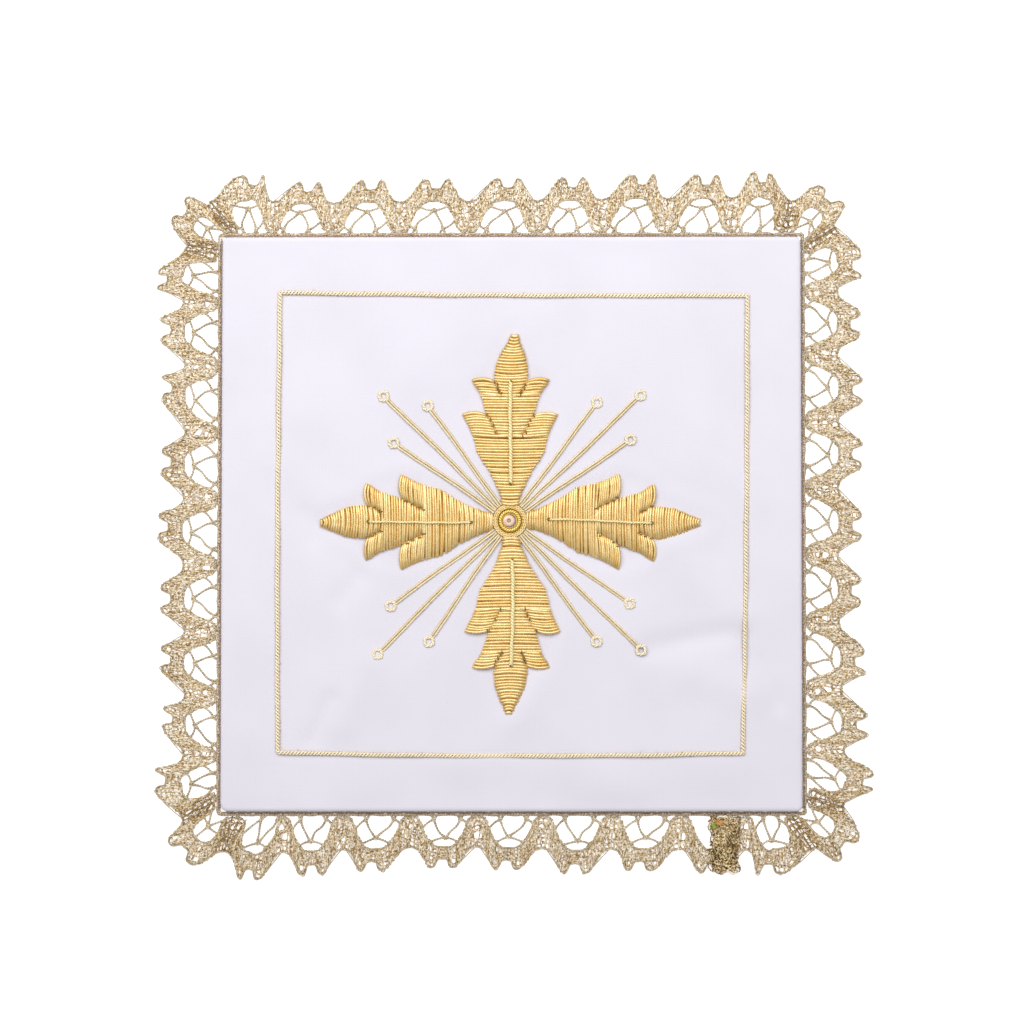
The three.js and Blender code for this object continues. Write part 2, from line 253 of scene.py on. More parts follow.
# A scallop of the mean reach, by share of the way from its middle to the valley beside
# it and by distance out from the cloth: the band's outer edge with its picots, before
# the middle and after it, and the inner edge, on a side and at a corner.
BAND_BEFORE = [
    (0, 14.0), (0.11, 14.2), (0.14, 14.9), (0.17, 15.9), (0.22, 16.5), (0.29, 16.6),
    (0.36, 16.4), (0.41, 15.8), (0.5, 14.5), (0.6, 12.9), (0.68, 11.9), (0.76, 11.1),
    (0.85, 10.6), (1, 10.3),
]
BAND_AFTER = [
    (0, 14.0), (0.15, 14.1), (0.195, 14.6), (0.23, 15.6), (0.28, 16.4), (0.355, 16.6),
    (0.425, 16.4), (0.475, 15.7), (0.52, 14.8), (0.59, 13.5), (0.66, 12.3), (0.75, 11.3),
    (0.85, 10.7), (1, 10.3),
]
BAND_INNER = [
    (0, 10.4), (0.18, 10.3), (0.3, 9.9), (0.38, 9.2), (0.45, 8.4), (0.53, 7.4), (0.6, 6.3),
    (0.65, 5.1), (0.69, 3.8), (0.73, 2.6), (0.8, 1.6), (1, 1.4),
]
CORNER_INNER = [
    (0, 9.9), (0.25, 9.7), (0.42, 9.0), (0.55, 7.8), (0.64, 6.2), (0.7, 4.6), (0.75, 3.0),
    (0.8, 1.8), (1, 1.3),
]

# Holes in a valley of the lace, as (distance out, radius), and the share of them that is
# made. A valley beside a corner is crowded and has one small hole.
VALLEY_HOLES = [(6.9, 0.78), (4.5, 0.68), (8.9, 0.3)]
HOLES_KEPT = 0.85
CORNER_HOLE = (7.4, 0.3)

# Where a scallop's picots have their pinholes and their rings, and from where to where two
# straight threads run down from the picots to the valleys, as shares across it.
PICOT_HOLES = (-0.31, 0.40)
PICOT_RINGS = (-0.29, 0.37)
STRAIGHT_RUNS = ((-0.33, -0.93), (0.42, 0.88))

# The warps of the lace's band, as shares across it: those that go over and under by turns,
# the ones below them, laid dark as painted shade under the rest, and those that fill the
# crowded ends of a scallop.
WARPS = np.linspace(0.04, 0.96, 7)
LOW_WARPS = (0.16, 0.38, 0.62, 0.84)
END_WARPS = (0.1, 0.24, 0.38, 0.53, 0.68)

# The plaits under a crest meet in a knot above, at the hub, and in two by the foot, as
# (share across, distance out). Each of the two comes down by way of a bend.
HUB_OUT = 7.75
CORNER_HUB = (0.05, 5.3)
LOW_KNOTS = [(-0.47, 2.4), (0.33, 2.4)]
LOW_BENDS = [(-0.16, 5.7), (0.13, 6.2)]

# The join of the lace's two ends, on the bottom side: how far it lies beside the middle of
# its solid, and the dyed ends of thread in it, with their colours and places.
JOIN_SIDE = 2
JOIN_SCALLOP = 1
JOIN_SHIFT = 1.0
JOIN_ENDS = [
    ("orange", "B87838", "E8B070", (56.9, -81.7)),
    ("green", "6E7A1C", "B4BC50", (55.4, -82.2)),
]

# How many threads the join has: ones below, laid darkest as painted shade, some across it,
# some down it, and loops.
JOIN_BELOW = 120
JOIN_ACROSS = 46
JOIN_DOWN = 13
JOIN_LOOPS = 34

# Half of an arm's outline, roughly, as distances out and half widths.
ARM_OUTLINE = ([5, 22, 30, 39, 42, 52], [2.5, 10, 11.5, 9, 4.5, 0.6])

# Where ends of wire, brown as painted shade in the seam, may show along a lobe's seam, and
# the share of them that does.
SEAM_PLACES = (0.0, 0.22, 0.5, 0.78, 1.0)
SEAM_KEPT = 0.7

# The radii of the finer threads, and how high above the cloth the middles of the border
# cord, of a ray's threads and of a ray's ring lie.
WHIPPING_RADIUS = 0.18
COUCHING_RADIUS = 0.07
SEAM_RADIUS = 0.17
KNOT_RADIUS = 0.14
BORDER_LEVEL = 0.42
RAY_LEVEL = 0.34
RING_LEVEL = 0.3

# The corners of a square, as a share of half its side.
SQUARE = [(-1, -1), (1, -1), (1, 1), (-1, 1)]


def linear(code):
    """An sRGB hex colour as linear red, green, blue and alpha."""
    channels = [int(code[i : i + 2], 16) / 255 for i in (0, 2, 4)]
    return [c / 12.92 if c <= 0.04045 else ((c + 0.055) / 1.055) ** 2.4 for c in channels] + [1.0]


def length(name, description, millimetres):
    """A property that holds a length, with its default in millimetres."""
    return bpy.props.FloatProperty(
        name=name, description=description, default=millimetres * MM, unit="LENGTH", precision=5
    )


def colour(name, description, code):
    """A property that holds a colour, with its default as sRGB hex."""
    return bpy.props.FloatVectorProperty(
        name=name, description=description, default=linear(code), size=4, subtype="COLOR"
    )


class PallSizes(bpy.types.PropertyGroup):
    """Sizes that a user would change."""

    cloth_cell: length("Cloth cell", "Side of one cell of the cloth's mesh", 1.35)
    weave: length("Weave", "Spacing of the cloth's threads, drawn coarse enough to show", 0.42)
    stitch: length("Stitch spacing", "From one purl stitch of a leaf to the next", 0.85)
    purl: length("Purl", "Thickness of the purl wire of the leaves", 0.98)
    padding: length("Padding", "How high the padding lifts the middle of a stitch", 0.5)
    cord_pitch: length("Cord pitch", "Length of one turn of the border cord", 1.9)
    couching: length("Ray couching", "From one couching stitch of a ray to the next", 3.1)
    ray_thread: length("Ray thread", "Thickness of one of a ray's two threads", 0.6)
    weft_pitch: length("Weft pitch", "From one weft of the lace's band to the next", 0.64)
    lace_thread: length("Lace thread", "Thickness of the lace's thread", 0.36)
    plait_pitch: length("Plait pitch", "Length of one turn of the lace's plaits", 1.5)


class PallColours(bpy.types.PropertyGroup):
    """Colours that a user would change."""

    cloth: colour("Cloth", "The white cloth", "E9E5EF")
    # The deep and bright colours span each thread's colour ramp, which also carries painted
    # highlight on its crowns and painted shade at its sides and in its hollows.
    purl_deep: colour("Purl, deep", "The darker purl stitches", "E6BC68")
    purl_bright: colour("Purl, bright", "The brighter purl stitches", "FFF0BE")
    cord_deep: colour("Cord, deep", "The hollows of the pale gold cord", "F8DCA6")
    cord_bright: colour("Cord, bright", "The crowns of the pale gold cord", "FFF9E2")
    lace_deep: colour("Lace, deep", "The darker threads of the lace", "D4B47E")
    lace_bright: colour("Lace, bright", "The brighter threads of the lace", "FFF9E8")
    edge_deep: colour("Lace edge, deep", "The dark side of the lace's smooth threads", "A08C6C")
    edge: colour("Lace edge", "The smooth threads along the lace's edges and plaits", "E2D2B4")
    # The whipping colour is the sewing thread's own and also painted shade where cloth meets lace.
    whipping: colour("Whipping", "The thread that sews the lace's foot to the cloth", "AE958C")
    pearl: colour("Pearl", "The bead in the roundel", "FCD8BE")
    padding: colour("Padding", "The felt under the stitches, seen in the gaps", "C08C3A")


# Nodes and meshes.

MATH = "ShaderNodeMath"
VECTOR_MATH = "ShaderNodeVectorMath"


def add(tree, kind, inputs=None, out=0, stops=(), **settings):
    """Adds a node with its settings and links, and returns one of its outputs.

    Inputs hold values or other nodes' outputs, by name or place. Stops are those of a
    colour ramp, as (place, colour).
    """
    made = tree.nodes.new(kind)
    for name, value in settings.items():
        setattr(made, name, value)
    for key, value in (inputs or {}).items():
        if isinstance(value, bpy.types.NodeSocket):
            tree.links.new(value, made.inputs[key])
        else:
            made.inputs[key].default_value = value
    if stops:
        elements = made.color_ramp.elements
        while len(elements) < len(stops):
            elements.new(0.5)
        for element, (at, tint) in zip(elements, stops):
            element.position = at
            element.color = tint
    return made.outputs[out] if made.outputs else None


def new_tree(name, sockets):
    """A Geometry Nodes tree with a guide, a material and these inputs, as (name, kind, value)."""
    tree = bpy.data.node_groups.new(name, "GeometryNodeTree")
    face = tree.interface
    face.new_socket("Guide", in_out="INPUT", socket_type="NodeSocketGeometry")
    for label, kind, value in sockets:
        face.new_socket(label, in_out="INPUT", socket_type=kind).default_value = value
    face.new_socket("Material", in_out="INPUT", socket_type="NodeSocketMaterial")
    face.new_socket("Geometry", in_out="OUTPUT", socket_type="NodeSocketGeometry")
    return tree, tree.nodes.new("NodeGroupInput").outputs


def guide_numbers(tree, *labels):
    """The numbers that the guide holds at each of its points."""
    return [
        add(tree, "GeometryNodeInputNamedAttribute", {"Name": label}, "Attribute")
        for label in labels
    ]


def beside(tree, curve, sideways, upwards):
    """Curves moved by these distances across their own way and straight up."""
    tangent = add(tree, "GeometryNodeInputTangent")
    side = add(tree, VECTOR_MATH, {0: tangent, 1: (0, 0, 1)}, operation="CROSS_PRODUCT")
    across = add(tree, VECTOR_MATH, {0: side, "Scale": sideways}, operation="SCALE")
    rise = add(tree, "ShaderNodeCombineXYZ", {"Z": upwards})
    shift = add(tree, VECTOR_MATH, {0: across, 1: rise}, operation="ADD")
    return add(tree, "GeometryNodeSetPosition", {"Geometry": curve, "Offset": shift})


def tubes(tree, given, curve, radius):
    """Ends a tree: tubes of this radius along the curves.

    Each point keeps how far along its line it is and how much it faces up; the metal
    threads' materials paint highlight and shade from the latter.
    """
    along = add(tree, "GeometryNodeSplineParameter", out="Length")
    store = "GeometryNodeStoreNamedAttribute"
    kept = add(tree, store, {"Geometry": curve, "Name": "along", "Value": along})
    ring = add(
        tree, "GeometryNodeCurvePrimitiveCircle", {"Resolution": given["Sides"], "Radius": 1.0}
    )
    tube = add(
        tree,
        "GeometryNodeCurveToMesh",
        {"Curve": kept, "Profile Curve": ring, "Scale": radius, "Fill Caps": True},
    )
    smooth = add(tree, "GeometryNodeSetShadeSmooth", {"Geometry": tube})
    facing = add(tree, "GeometryNodeInputNormal")
    upwards = add(tree, "ShaderNodeSeparateXYZ", {"Vector": facing}, "Z")
    crowned = add(tree, store, {"Geometry": smooth, "Name": "crown", "Value": upwards})
    real = add(tree, "GeometryNodeRealizeInstances", {"Geometry": crowned})
    dressed = {"Geometry": real, "Material": given["Material"]}
    add(tree, "NodeGroupOutput", {"Geometry": add(tree, "GeometryNodeSetMaterial", dressed)})


def thread_tree():
    """Plain threads along the guide's lines."""
    tree, given = new_tree("threads", [("Sides", "NodeSocketInt", 5)])
    curve = add(tree, "GeometryNodeMeshToCurve", {"Mesh": given["Guide"]})
    tubes(tree, given, curve, *guide_numbers(tree, "thick"))
    return tree


def satin_tree():
    """Satin stitches: each edge of the guide becomes a wire that arches over the padding.

    The lift has a flat top and steep ends, and the bow to the side is an even curve.
    """
    tree, given = new_tree(
        "satin_stitches", [("Sides", "NodeSocketInt", 8), ("Points", "NodeSocketInt", 13)]
    )
    line = add(tree, "GeometryNodeMeshToCurve", {"Mesh": given["Guide"]})
    curve = add(
        tree, "GeometryNodeResampleCurve", {"Curve": line, "Count": given["Points"]}, mode="COUNT"
    )
    thick, rise, bow = guide_numbers(tree, "thick", "rise", "bow")
    share = add(tree, "GeometryNodeSplineParameter", out="Factor")
    centred = add(tree, MATH, {0: share, 1: 2.0, 2: -1.0}, operation="MULTIPLY_ADD")
    square = add(tree, MATH, {0: centred, 1: centred}, operation="MULTIPLY")
    flatter = add(tree, MATH, {0: square, 1: 2.2}, operation="POWER")
    arch = add(tree, MATH, {0: 1.0, 1: square}, operation="SUBTRACT")
    steep = add(tree, MATH, {0: 1.0, 1: flatter}, operation="SUBTRACT")
    bend = add(tree, MATH, {0: arch, 1: bow}, operation="MULTIPLY")
    lift = add(tree, MATH, {0: steep, 1: rise}, operation="MULTIPLY")
    tubes(tree, given, beside(tree, curve, bend, lift), thick)
    return tree


def cord_tree():
    """Twisted cords: plies that wind round the guide's lines, wider than they are high.

    A ply's tone carries painted light: lighter where it lies uppermost, darker where it
    lies underneath.
    """
    tree, given = new_tree(
        "twisted_cord",
        [
            ("Sides", "NodeSocketInt", 6),
            ("Plies", "NodeSocketInt", 2),
            ("Ply Radius", "NodeSocketFloat", 0.3 * MM),
            ("Twist Width", "NodeSocketFloat", 0.3 * MM),
            ("Twist Height", "NodeSocketFloat", 0.3 * MM),
            ("Pitch", "NodeSocketFloat", 2.0 * MM),
            ("Step", "NodeSocketFloat", 0.25 * MM),
        ],
    )
    line = add(tree, "GeometryNodeMeshToCurve", {"Mesh": given["Guide"]})
    fine = add(
        tree, "GeometryNodeResampleCurve", {"Curve": line, "Length": given["Step"]}, mode="LENGTH"
    )
    plies = add(
        tree,
        "GeometryNodeDuplicateElements",
        {"Geometry": fine, "Amount": given["Plies"]},
        domain="SPLINE",
    )
    number = plies.node.outputs["Duplicate Index"]
    thick, tone = guide_numbers(tree, "thick", "tone")
    along = add(tree, "GeometryNodeSplineParameter", out="Length")
    turns = add(tree, MATH, {0: along, 1: given["Pitch"]}, operation="DIVIDE")
    start = add(tree, MATH, {0: number, 1: given["Plies"]}, operation="DIVIDE")
    wound = add(tree, MATH, {0: turns, 1: start}, operation="ADD")
    angle = add(tree, MATH, {0: wound, 1: 2 * math.pi}, operation="MULTIPLY")
    sideways = add(tree, MATH, {0: angle}, operation="COSINE")
    upwards = add(tree, MATH, {0: angle}, operation="SINE")
    # Painted light and shade: the tone rises where a ply winds over the top and falls beneath.
    lit = add(tree, MATH, {0: upwards, 1: 0.35, 2: tone}, operation="MULTIPLY_ADD")
    toned = add(
        tree,
        "GeometryNodeStoreNamedAttribute",
        {"Geometry": plies, "Name": "tone", "Value": lit},
    )
    wide = add(tree, MATH, {0: sideways, 1: given["Twist Width"]}, operation="MULTIPLY")
    high = add(tree, MATH, {0: upwards, 1: given["Twist Height"]}, operation="MULTIPLY")
    radius = add(tree, MATH, {0: thick, 1: given["Ply Radius"]}, operation="MULTIPLY")
    tubes(tree, given, beside(tree, toned, wide, high), radius)
    return tree


class Strands:
    """Lines for the trees to follow, in millimetres, each with the numbers that they read."""

    def __init__(self, *labels):
        self.points = []
        self.edges = []
        self.values = {label: [] for label in ("thick", "tone", *labels)}

    def lay(self, points, closed=False, **values):
        """Adds one line. A value is one number for the line or one for each point."""
        points = np.asarray(points, float)
        first = len(self.points)
        count = len(points)
        self.points.extend(points * MM)
        self.edges.extend((first + i, first + i + 1) for i in range(count - 1))
        if closed:
            self.edges.append((first + count - 1, first))
        for label, kept in self.values.items():
            kept.extend(np.broadcast_to(values[label], count))

    def guide(self, name):
        """The lines as a mesh of edges."""
        mesh = bpy.data.meshes.new(name)
        mesh.from_pydata(self.points, self.edges, [])
        for label, kept in self.values.items():
            mesh.attributes.new(label, "FLOAT", "POINT").data.foreach_set("value", kept)
        return mesh


def grow(name, strands, tree, material, **inputs):
    """Runs a tree on the strands and returns what it makes as a plain mesh object."""
    holder = bpy.data.objects.new(name + "_guide", strands.guide(name + "_guide"))
    bpy.context.scene.collection.objects.link(holder)
    modifier = holder.modifiers.new("nodes", "NODES")
    modifier.node_group = tree
    given = {label.replace("_", " ").title(): value for label, value in inputs.items()}
    given["Material"] = material
    for socket in tree.interface.items_tree:
        if socket.in_out == "INPUT" and socket.name in given:
            modifier[socket.identifier] = given[socket.name]
    seen = holder.evaluated_get(bpy.context.evaluated_depsgraph_get())
    mesh = bpy.data.meshes.new_from_object(seen)
    bpy.data.objects.remove(holder)
    return place(name, mesh)


def twist(name, strands, tree, material, plies, pitch, step, sides=6):
    """Grows a twisted cord, with its turns and the steps along it in millimetres.

    Plies are a ply's radius and how far it swings sideways and up as it winds.
    """
    radius, wide, high = (size * MM for size in plies)
    return grow(
        name,
        strands,
        tree,
        material,
        sides=sides,
        ply_radius=radius,
        twist_width=wide,
        twist_height=high,
        pitch=pitch * MM,
        step=step * MM,
    )


def place(name, mesh):
    """A mesh as an object at the origin, with its faces turned outwards."""
    mesh.calc_loop_triangles()
    points = np.zeros(len(mesh.vertices) * 3)
    mesh.vertices.foreach_get("co", points)
    corners = np.zeros(len(mesh.loop_triangles) * 3, int)
    mesh.loop_triangles.foreach_get("vertices", corners)
    a, b, c = points.reshape(-1, 3)[corners].reshape(-1, 3, 3).transpose(1, 0, 2)
    if (a * np.cross(b, c)).sum() < 0:
        mesh.flip_normals()
    mesh.name = name
    made = bpy.data.objects.new(name, mesh)
    bpy.context.scene.collection.objects.link(made)
    return made


def smooth_mesh(name, points, faces, material):
    """A smooth mesh object from points in millimetres."""
    mesh = bpy.data.meshes.new(name)
    mesh.from_pydata(np.asarray(points) * MM, [], np.asarray(faces).tolist())
    mesh.shade_smooth()
    mesh.materials.append(material)
    return place(name, mesh)


def grid_faces(rows, columns):
    """The cells of a grid of points, and the loop of points round its edge."""
    number = np.arange(rows * columns).reshape(rows, columns)
    cells = np.stack([number[:-1, :-1], number[1:, :-1], number[1:, 1:], number[:-1, 1:]], -1)
    loop = [number[0, :-1], number[:-1, -1], number[-1, :0:-1], number[:0:-1, 0]]
    return cells.reshape(-1, 4), np.concatenate(loop)


def wall_faces(upper, lower):
    """The wall between two loops of points."""
    return np.column_stack([upper, np.roll(upper, -1), np.roll(lower, -1), lower])


def join(name, *parts):
    """Joins mesh objects into the first and names it."""
    with bpy.context.temp_override(
        active_object=parts[0], selected_editable_objects=list(parts), selected_objects=list(parts)
    ):
        bpy.ops.object.join()
    parts[0].name = name
    parts[0].data.name = name
    return parts[0]


def settle(piece, slot, *nodes):
    """Ties a finished piece to the frame's body and hides the solids it stands for. Its finish,
    slot, is not used.
    """
    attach(piece, BODY)
    if nodes:
        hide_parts(*nodes)
    return piece


# Materials. Pattern sizes and depths are in millimetres.

# How many bands the wave texture draws in one unit at scale 1.
BANDS_A_UNIT = 3.1

# The scale of the felt's grain, counted in the piece's own box.
FELT_SCALE = 2000

# One turn of the strip round a metal thread, and of the two plies of the sewing thread.
COIL_TURN = 0.5
SEWING_TURN = 0.8

# The finish of each metal thread: its roughness and metallic, the size of its specks of
# painted glint, how strong they are, and how much painted highlight its crown has over the
# painted shade at its sides.
WIRES = {
    # Gilt strip wound openly on a silk core: a dull thread full of small painted glints.
    "gilt_lace_thread": (0.5, 0.3, 0.55, 2.7, 0.3),
    # Gimp wound close and smooth: an even, dull gloss.
    "smooth_lace_gimp": (0.5, 0.2, 0.8, 0.9, 0.55),
    # Lace thread crushed into a bunch: strong painted glints over painted shade in its hollows.
    "bunched_lace_thread": (0.4, 0.5, 0.6, 2.6, 0.55),
    # Dyed silk ends: colour without any metal, and a soft gloss.
    "orange_thread_end": (0.6, 0.0, 0.8, 0.5, 0.55),
    "green_thread_end": (0.6, 0.0, 0.8, 0.5, 0.55),
    # Pale gilt thread, twisted in two plies: painted highlights on its crowns and painted
    # shade in its golden hollows.
    "pale_gilt_cord": (0.5, 0.1, 1.4, 0.7, 0.7),
    # Smooth purl, a close coil of bright gilt wire: a clear gloss, even along a stitch.
    "smooth_gilt_purl": (0.42, 0.7, 1.2, 0.4, 0.22),
    # The cut end of a purl, sunk in the seam: brown, because it lies in shade.
    "sunk_wire_end": (0.5, 0.3, 0.8, 0.5, 0.55),
    # The midribs' pale cord: soft gloss on even plies.
    "pale_gilt_midrib": (0.45, 0.15, 1.2, 0.4, 0.35),
    # The knotted end of a midrib: dark as painted shade, drawn down between the stitches.
    "knotted_end": (0.5, 0.3, 0.8, 0.5, 0.55),
    # Gilt thread laid straight: a soft painted highlight along its crown.
    "couched_gilt_thread": (0.45, 0.15, 0.8, 0.5, 0.35),
    # Pale purl bent into a ring: almost white on its crowns, a painted highlight.
    "pale_gilt_ring": (0.5, 0.1, 0.8, 0.4, 0.5),
    # The roundel's fine pale cords: warmer and glossier than the border.
    "pale_gilt_roundel": (0.45, 0.3, 0.8, 0.5, 0.6),
    # Check purl, wound on a square needle: the deepest gold, with hard painted highlights on
    # its crowns.
    "bright_check_purl": (0.38, 0.7, 0.8, 0.5, 0.9),
    # The fawn thread that holds the bead: matt, with a faint gleam.
    "bead_stitch": (0.5, 0.1, 0.8, 0.5, 0.55),
}


def new_material(name, **values):
    """A material with these values on its shader's own sockets, its tree and its shader."""
    material = bpy.data.materials.new(name)
    material.use_nodes = True
    tree = material.node_tree
    shader = tree.nodes["Principled BSDF"]
    for label, value in values.items():
        shader.inputs[label.replace("_", " ").title()].default_value = value
    return material, tree, shader


def dimmed(tint, share):
    """A colour made darker, by one share or by one for each channel."""
    return [*(np.array(tint[:3]) * share), 1.0]


def dress(tree, shader, tone=None, height=None, depth=0.0, strength=1.0):
    """Links a colour pattern to the shader, and a height pattern with its real depth."""
    if tone is not None:
        tree.links.new(tone, shader.inputs["Base Color"])
    if height is not None:
        inputs = {"Height": height, "Distance": depth * MM, "Strength": strength}
        tree.links.new(add(tree, "ShaderNodeBump", inputs), shader.inputs["Normal"])


def object_noise(tree, size, detail=2.0):
    """Noise fixed to the object, with features about this many millimetres across."""
    spot = add(tree, "ShaderNodeTexCoord", out="Object")
    inputs = {"Vector": spot, "Scale": 1 / (size * MM), "Detail": detail}
    return add(tree, "ShaderNodeTexNoise", inputs)


def winding(tree, turn):
    """A wave along a thread, with one length for each turn."""
    along = add(tree, "ShaderNodeAttribute", out="Fac", attribute_name="along")
    turns = add(tree, MATH, {0: along, 1: 2 * math.pi / (turn * MM)}, operation="MULTIPLY")
    return add(tree, MATH, {0: turns}, operation="SINE")


def floor_material():
    """White acrylic lit from below: an even white floor with hardly a shadow on it."""
    material, _, _ = new_material(
        "lit_white_acrylic",
        base_color=linear("FFFFFF"),
        roughness=0.6,
        emission_color=linear("FFFFFF"),
        emission_strength=0.55,
    )
    return material


def cloth_material(sizes, colours):
    """Closely woven white cotton, pressed flat: matt, with an even grain and a soft sheen.

    Its threads are drawn coarser than the real ones, so that they show.
    """
    material, tree, shader = new_material(
        "pressed_white_cotton", roughness=0.82, sheen_weight=0.12, sheen_roughness=0.45
    )
    spot = add(tree, "ShaderNodeTexCoord", out="Object")
    scale = 1 / sizes.weave / BANDS_A_UNIT
    inputs = {"Vector": spot, "Scale": scale, "Distortion": 0.6, "Detail": 1.0}
    warp, weft = (
        add(tree, "ShaderNodeTexWave", inputs, "Fac", bands_direction=way) for way in ("X", "Y")
    )
    weave = add(tree, MATH, {0: warp, 1: weft}, operation="MULTIPLY")
    slubs = object_noise(tree, 1.6, 3.0)
    grain = add(tree, MATH, {0: slubs, 1: 0.7, 2: weave}, operation="MULTIPLY_ADD")
    stops = [(0.35, dimmed(colours.cloth, 0.965)), (0.65, colours.cloth)]
    patches = add(tree, "ShaderNodeValToRGB", {"Fac": object_noise(tree, 22)}, stops=stops)
    dress(tree, shader, patches, grain, 0.03, 0.5)
    return material


def wire_material(name, deep, bright):
    """Metal thread: strip wound in a fine coil, whose colour carries painted light: a painted
    highlight on its crown, painted shade where it turns down to its neighbour, and painted
    glints in specks."""
    roughness, metallic, grain, mottle, crown = WIRES[name]
    material, tree, shader = new_material(name, roughness=roughness, metallic=metallic)
    tone, facing = (
        add(tree, "ShaderNodeAttribute", out="Fac", attribute_name=label)
        for label in ("tone", "crown")
    )
    # A point of middle tone and speck that faces up by 0.6 comes out about a quarter of the
    # way from the deep colour to the bright one.
    tone_share = 0.6
    usual = 0.55 - 0.5 * mottle - 0.5 * tone_share - 0.6 * crown
    # Painted highlight and shade: the colour rises where the surface faces up and falls at its
    # sides.
    lit = add(tree, MATH, {0: facing, 1: crown, 2: usual}, operation="MULTIPLY_ADD")
    varied = add(tree, MATH, {0: tone, 1: tone_share, 2: lit}, operation="MULTIPLY_ADD")
    # Noise specks: painted glints and painted dark spots.
    specks = {0: object_noise(tree, grain), 1: mottle, 2: varied}
    share = add(tree, MATH, specks, operation="MULTIPLY_ADD")
    # The darkest stop, below the deep colour, is painted shade at a thread's sides and in its
    # hollows.
    stops = [(0.0, dimmed(deep, (0.45, 0.4, 0.3))), (0.4, deep), (0.95, bright)]
    colours = add(tree, "ShaderNodeValToRGB", {"Fac": share}, stops=stops)
    dress(tree, shader, colours, winding(tree, COIL_TURN), 0.005, 0.6)
    return material


def felt_material(colours):
    """Ochre felt padding, hairy and dull, that shows only in the gaps between the stitches.

    Its grain is drawn in the piece's own box, far finer than the other patterns.
    """
    material, tree, shader = new_material(
        "ochre_felt_padding", base_color=colours.padding, roughness=0.95
    )
    grain = add(tree, "ShaderNodeTexNoise", {"Scale": FELT_SCALE, "Detail": 4.0})
    dress(tree, shader, height=grain, depth=0.1)
    return material


def sewing_material(colours):
    """Spun mauve-brown sewing thread, matt, with the slant of its two plies."""
    material, tree, shader = new_material("spun_sewing_thread", roughness=0.7)
    turns = {0: winding(tree, SEWING_TURN), 1: 0.5, 2: 0.5}
    # The ply stripes darken the colour between the plies: painted shade in the grooves.
    ply = add(tree, MATH, turns, operation="MULTIPLY_ADD")
    stops = [(0.0, dimmed(colours.whipping, 0.6)), (1.0, colours.whipping)]
    dress(tree, shader, add(tree, "ShaderNodeValToRGB", {"Fac": ply}, stops=stops), ply, 0.04)
    return material


def pearl_material(colours):
    """Dipped pearl glass: a pinkish body colour under a clear, smooth lustre."""
    material, tree, shader = new_material(
        "dipped_pearl_glass",
        roughness=0.3,
        coat_weight=0.6,
        coat_roughness=0.08,
        sheen_weight=0.2,
    )
    stops = [(0.3, dimmed(colours.pearl, 0.82)), (0.7, colours.pearl)]
    clouds = {"Fac": object_noise(tree, 0.9)}
    dress(tree, shader, add(tree, "ShaderNodeValToRGB", clouds, stops=stops))
    return material


# Shapes.


def along_table(rows, shares):
    """Reads a table of (share, value) rows at these shares, on both sides of its middle."""
    places, values = zip(*rows)
    return np.interp(np.abs(shares), places, values)


def walk(points, step):
    """A line again, with points about step apart."""
    points = np.asarray(points, float)
    run = np.concatenate([[0], np.cumsum(np.linalg.norm(np.diff(points, axis=0), axis=1))])
    count = max(2, math.ceil(run[-1] / step) + 1)
    at = np.linspace(0, run[-1], count)
    return np.stack([np.interp(at, run, points[:, k]) for k in range(points.shape[1])], axis=1)


def rounded(points, step=0.4, passes=3):
    """A line through a few points with its corners eased."""
    line = walk(points, step)
    for _ in range(passes):
        line[1:-1] = (line[:-2] + 2 * line[1:-1] + line[2:]) / 4
    return line


def over_under(count, middle, swing, start=0):
    """Heights that go up and down by turns about a middle one, as a woven thread does."""
    return middle + swing * (-1.0) ** (np.arange(count) + start)


def raise_to(points, height):
    """Flat points lifted to a height, or to one for each point."""
    points = np.asarray(points, float)
    return np.column_stack([points[:, :2], np.broadcast_to(height, len(points))])


def turned(points, degrees):
    """Points of an arm turned to its place on the cross."""
    angle = math.radians(degrees)
    spin = np.array([[math.cos(angle), math.sin(angle)], [-math.sin(angle), math.cos(angle)]])
    points = np.asarray(points, float)
    points[:, :2] = points[:, :2] @ spin + CROSS_MIDDLE
    return points


def arm_place(arm, points):
    """Points of an arm, as (distance out, sideways), in their place on the cloth."""
    out, across = np.asarray(points, float).T
    share = out / MEAN_REACH
    bend = arm["lean"] * share**4 + arm["bow"] * np.sin(math.pi * share)
    bend += arm["wave"] * np.sin(2 * math.pi * share)
    return turned(np.column_stack([share * arm["reach"], across + bend]), arm["turn"])


def circle(middle, radius, height, count, start=0.0):
    """Points round a flat circle."""
    angles = start + np.linspace(0, 2 * math.pi, count, endpoint=False)
    ring = np.column_stack([np.cos(angles), np.sin(angles)]) * radius + middle
    return raise_to(ring, height)


def crease_height(x, y):
    """How high the creases lift the cloth at these points."""
    lift = np.zeros_like(x)
    for crease in CREASES:
        start = np.array(crease["start"])
        way = np.array(crease["end"]) - start
        share = ((x - start[0]) * way[0] + (y - start[1]) * way[1]) / (way @ way)
        near = np.clip(share, 0, 1)
        away = np.hypot(x - start[0] - near * way[0], y - start[1] - near * way[1])
        lift += crease["height"] * np.exp(-((away / crease["width"]) ** 2))
    return lift


def arm_clearance(x, y):
    """Roughly how far these points are from the embroidery of the cross."""
    out = np.hypot(x - CROSS_MIDDLE[0], y - CROSS_MIDDLE[1])
    angle = np.arctan2(y - CROSS_MIDDLE[1], x - CROSS_MIDDLE[0])
    off_axis = np.abs((angle + math.pi / 4) % (math.pi / 2) - math.pi / 4)
    across = out * np.sin(off_axis)
    reach = out * np.cos(off_axis)
    half = np.interp(reach, *ARM_OUTLINE)
    return np.hypot(np.maximum(across - half, 0), np.maximum(reach - MEAN_REACH, 0))


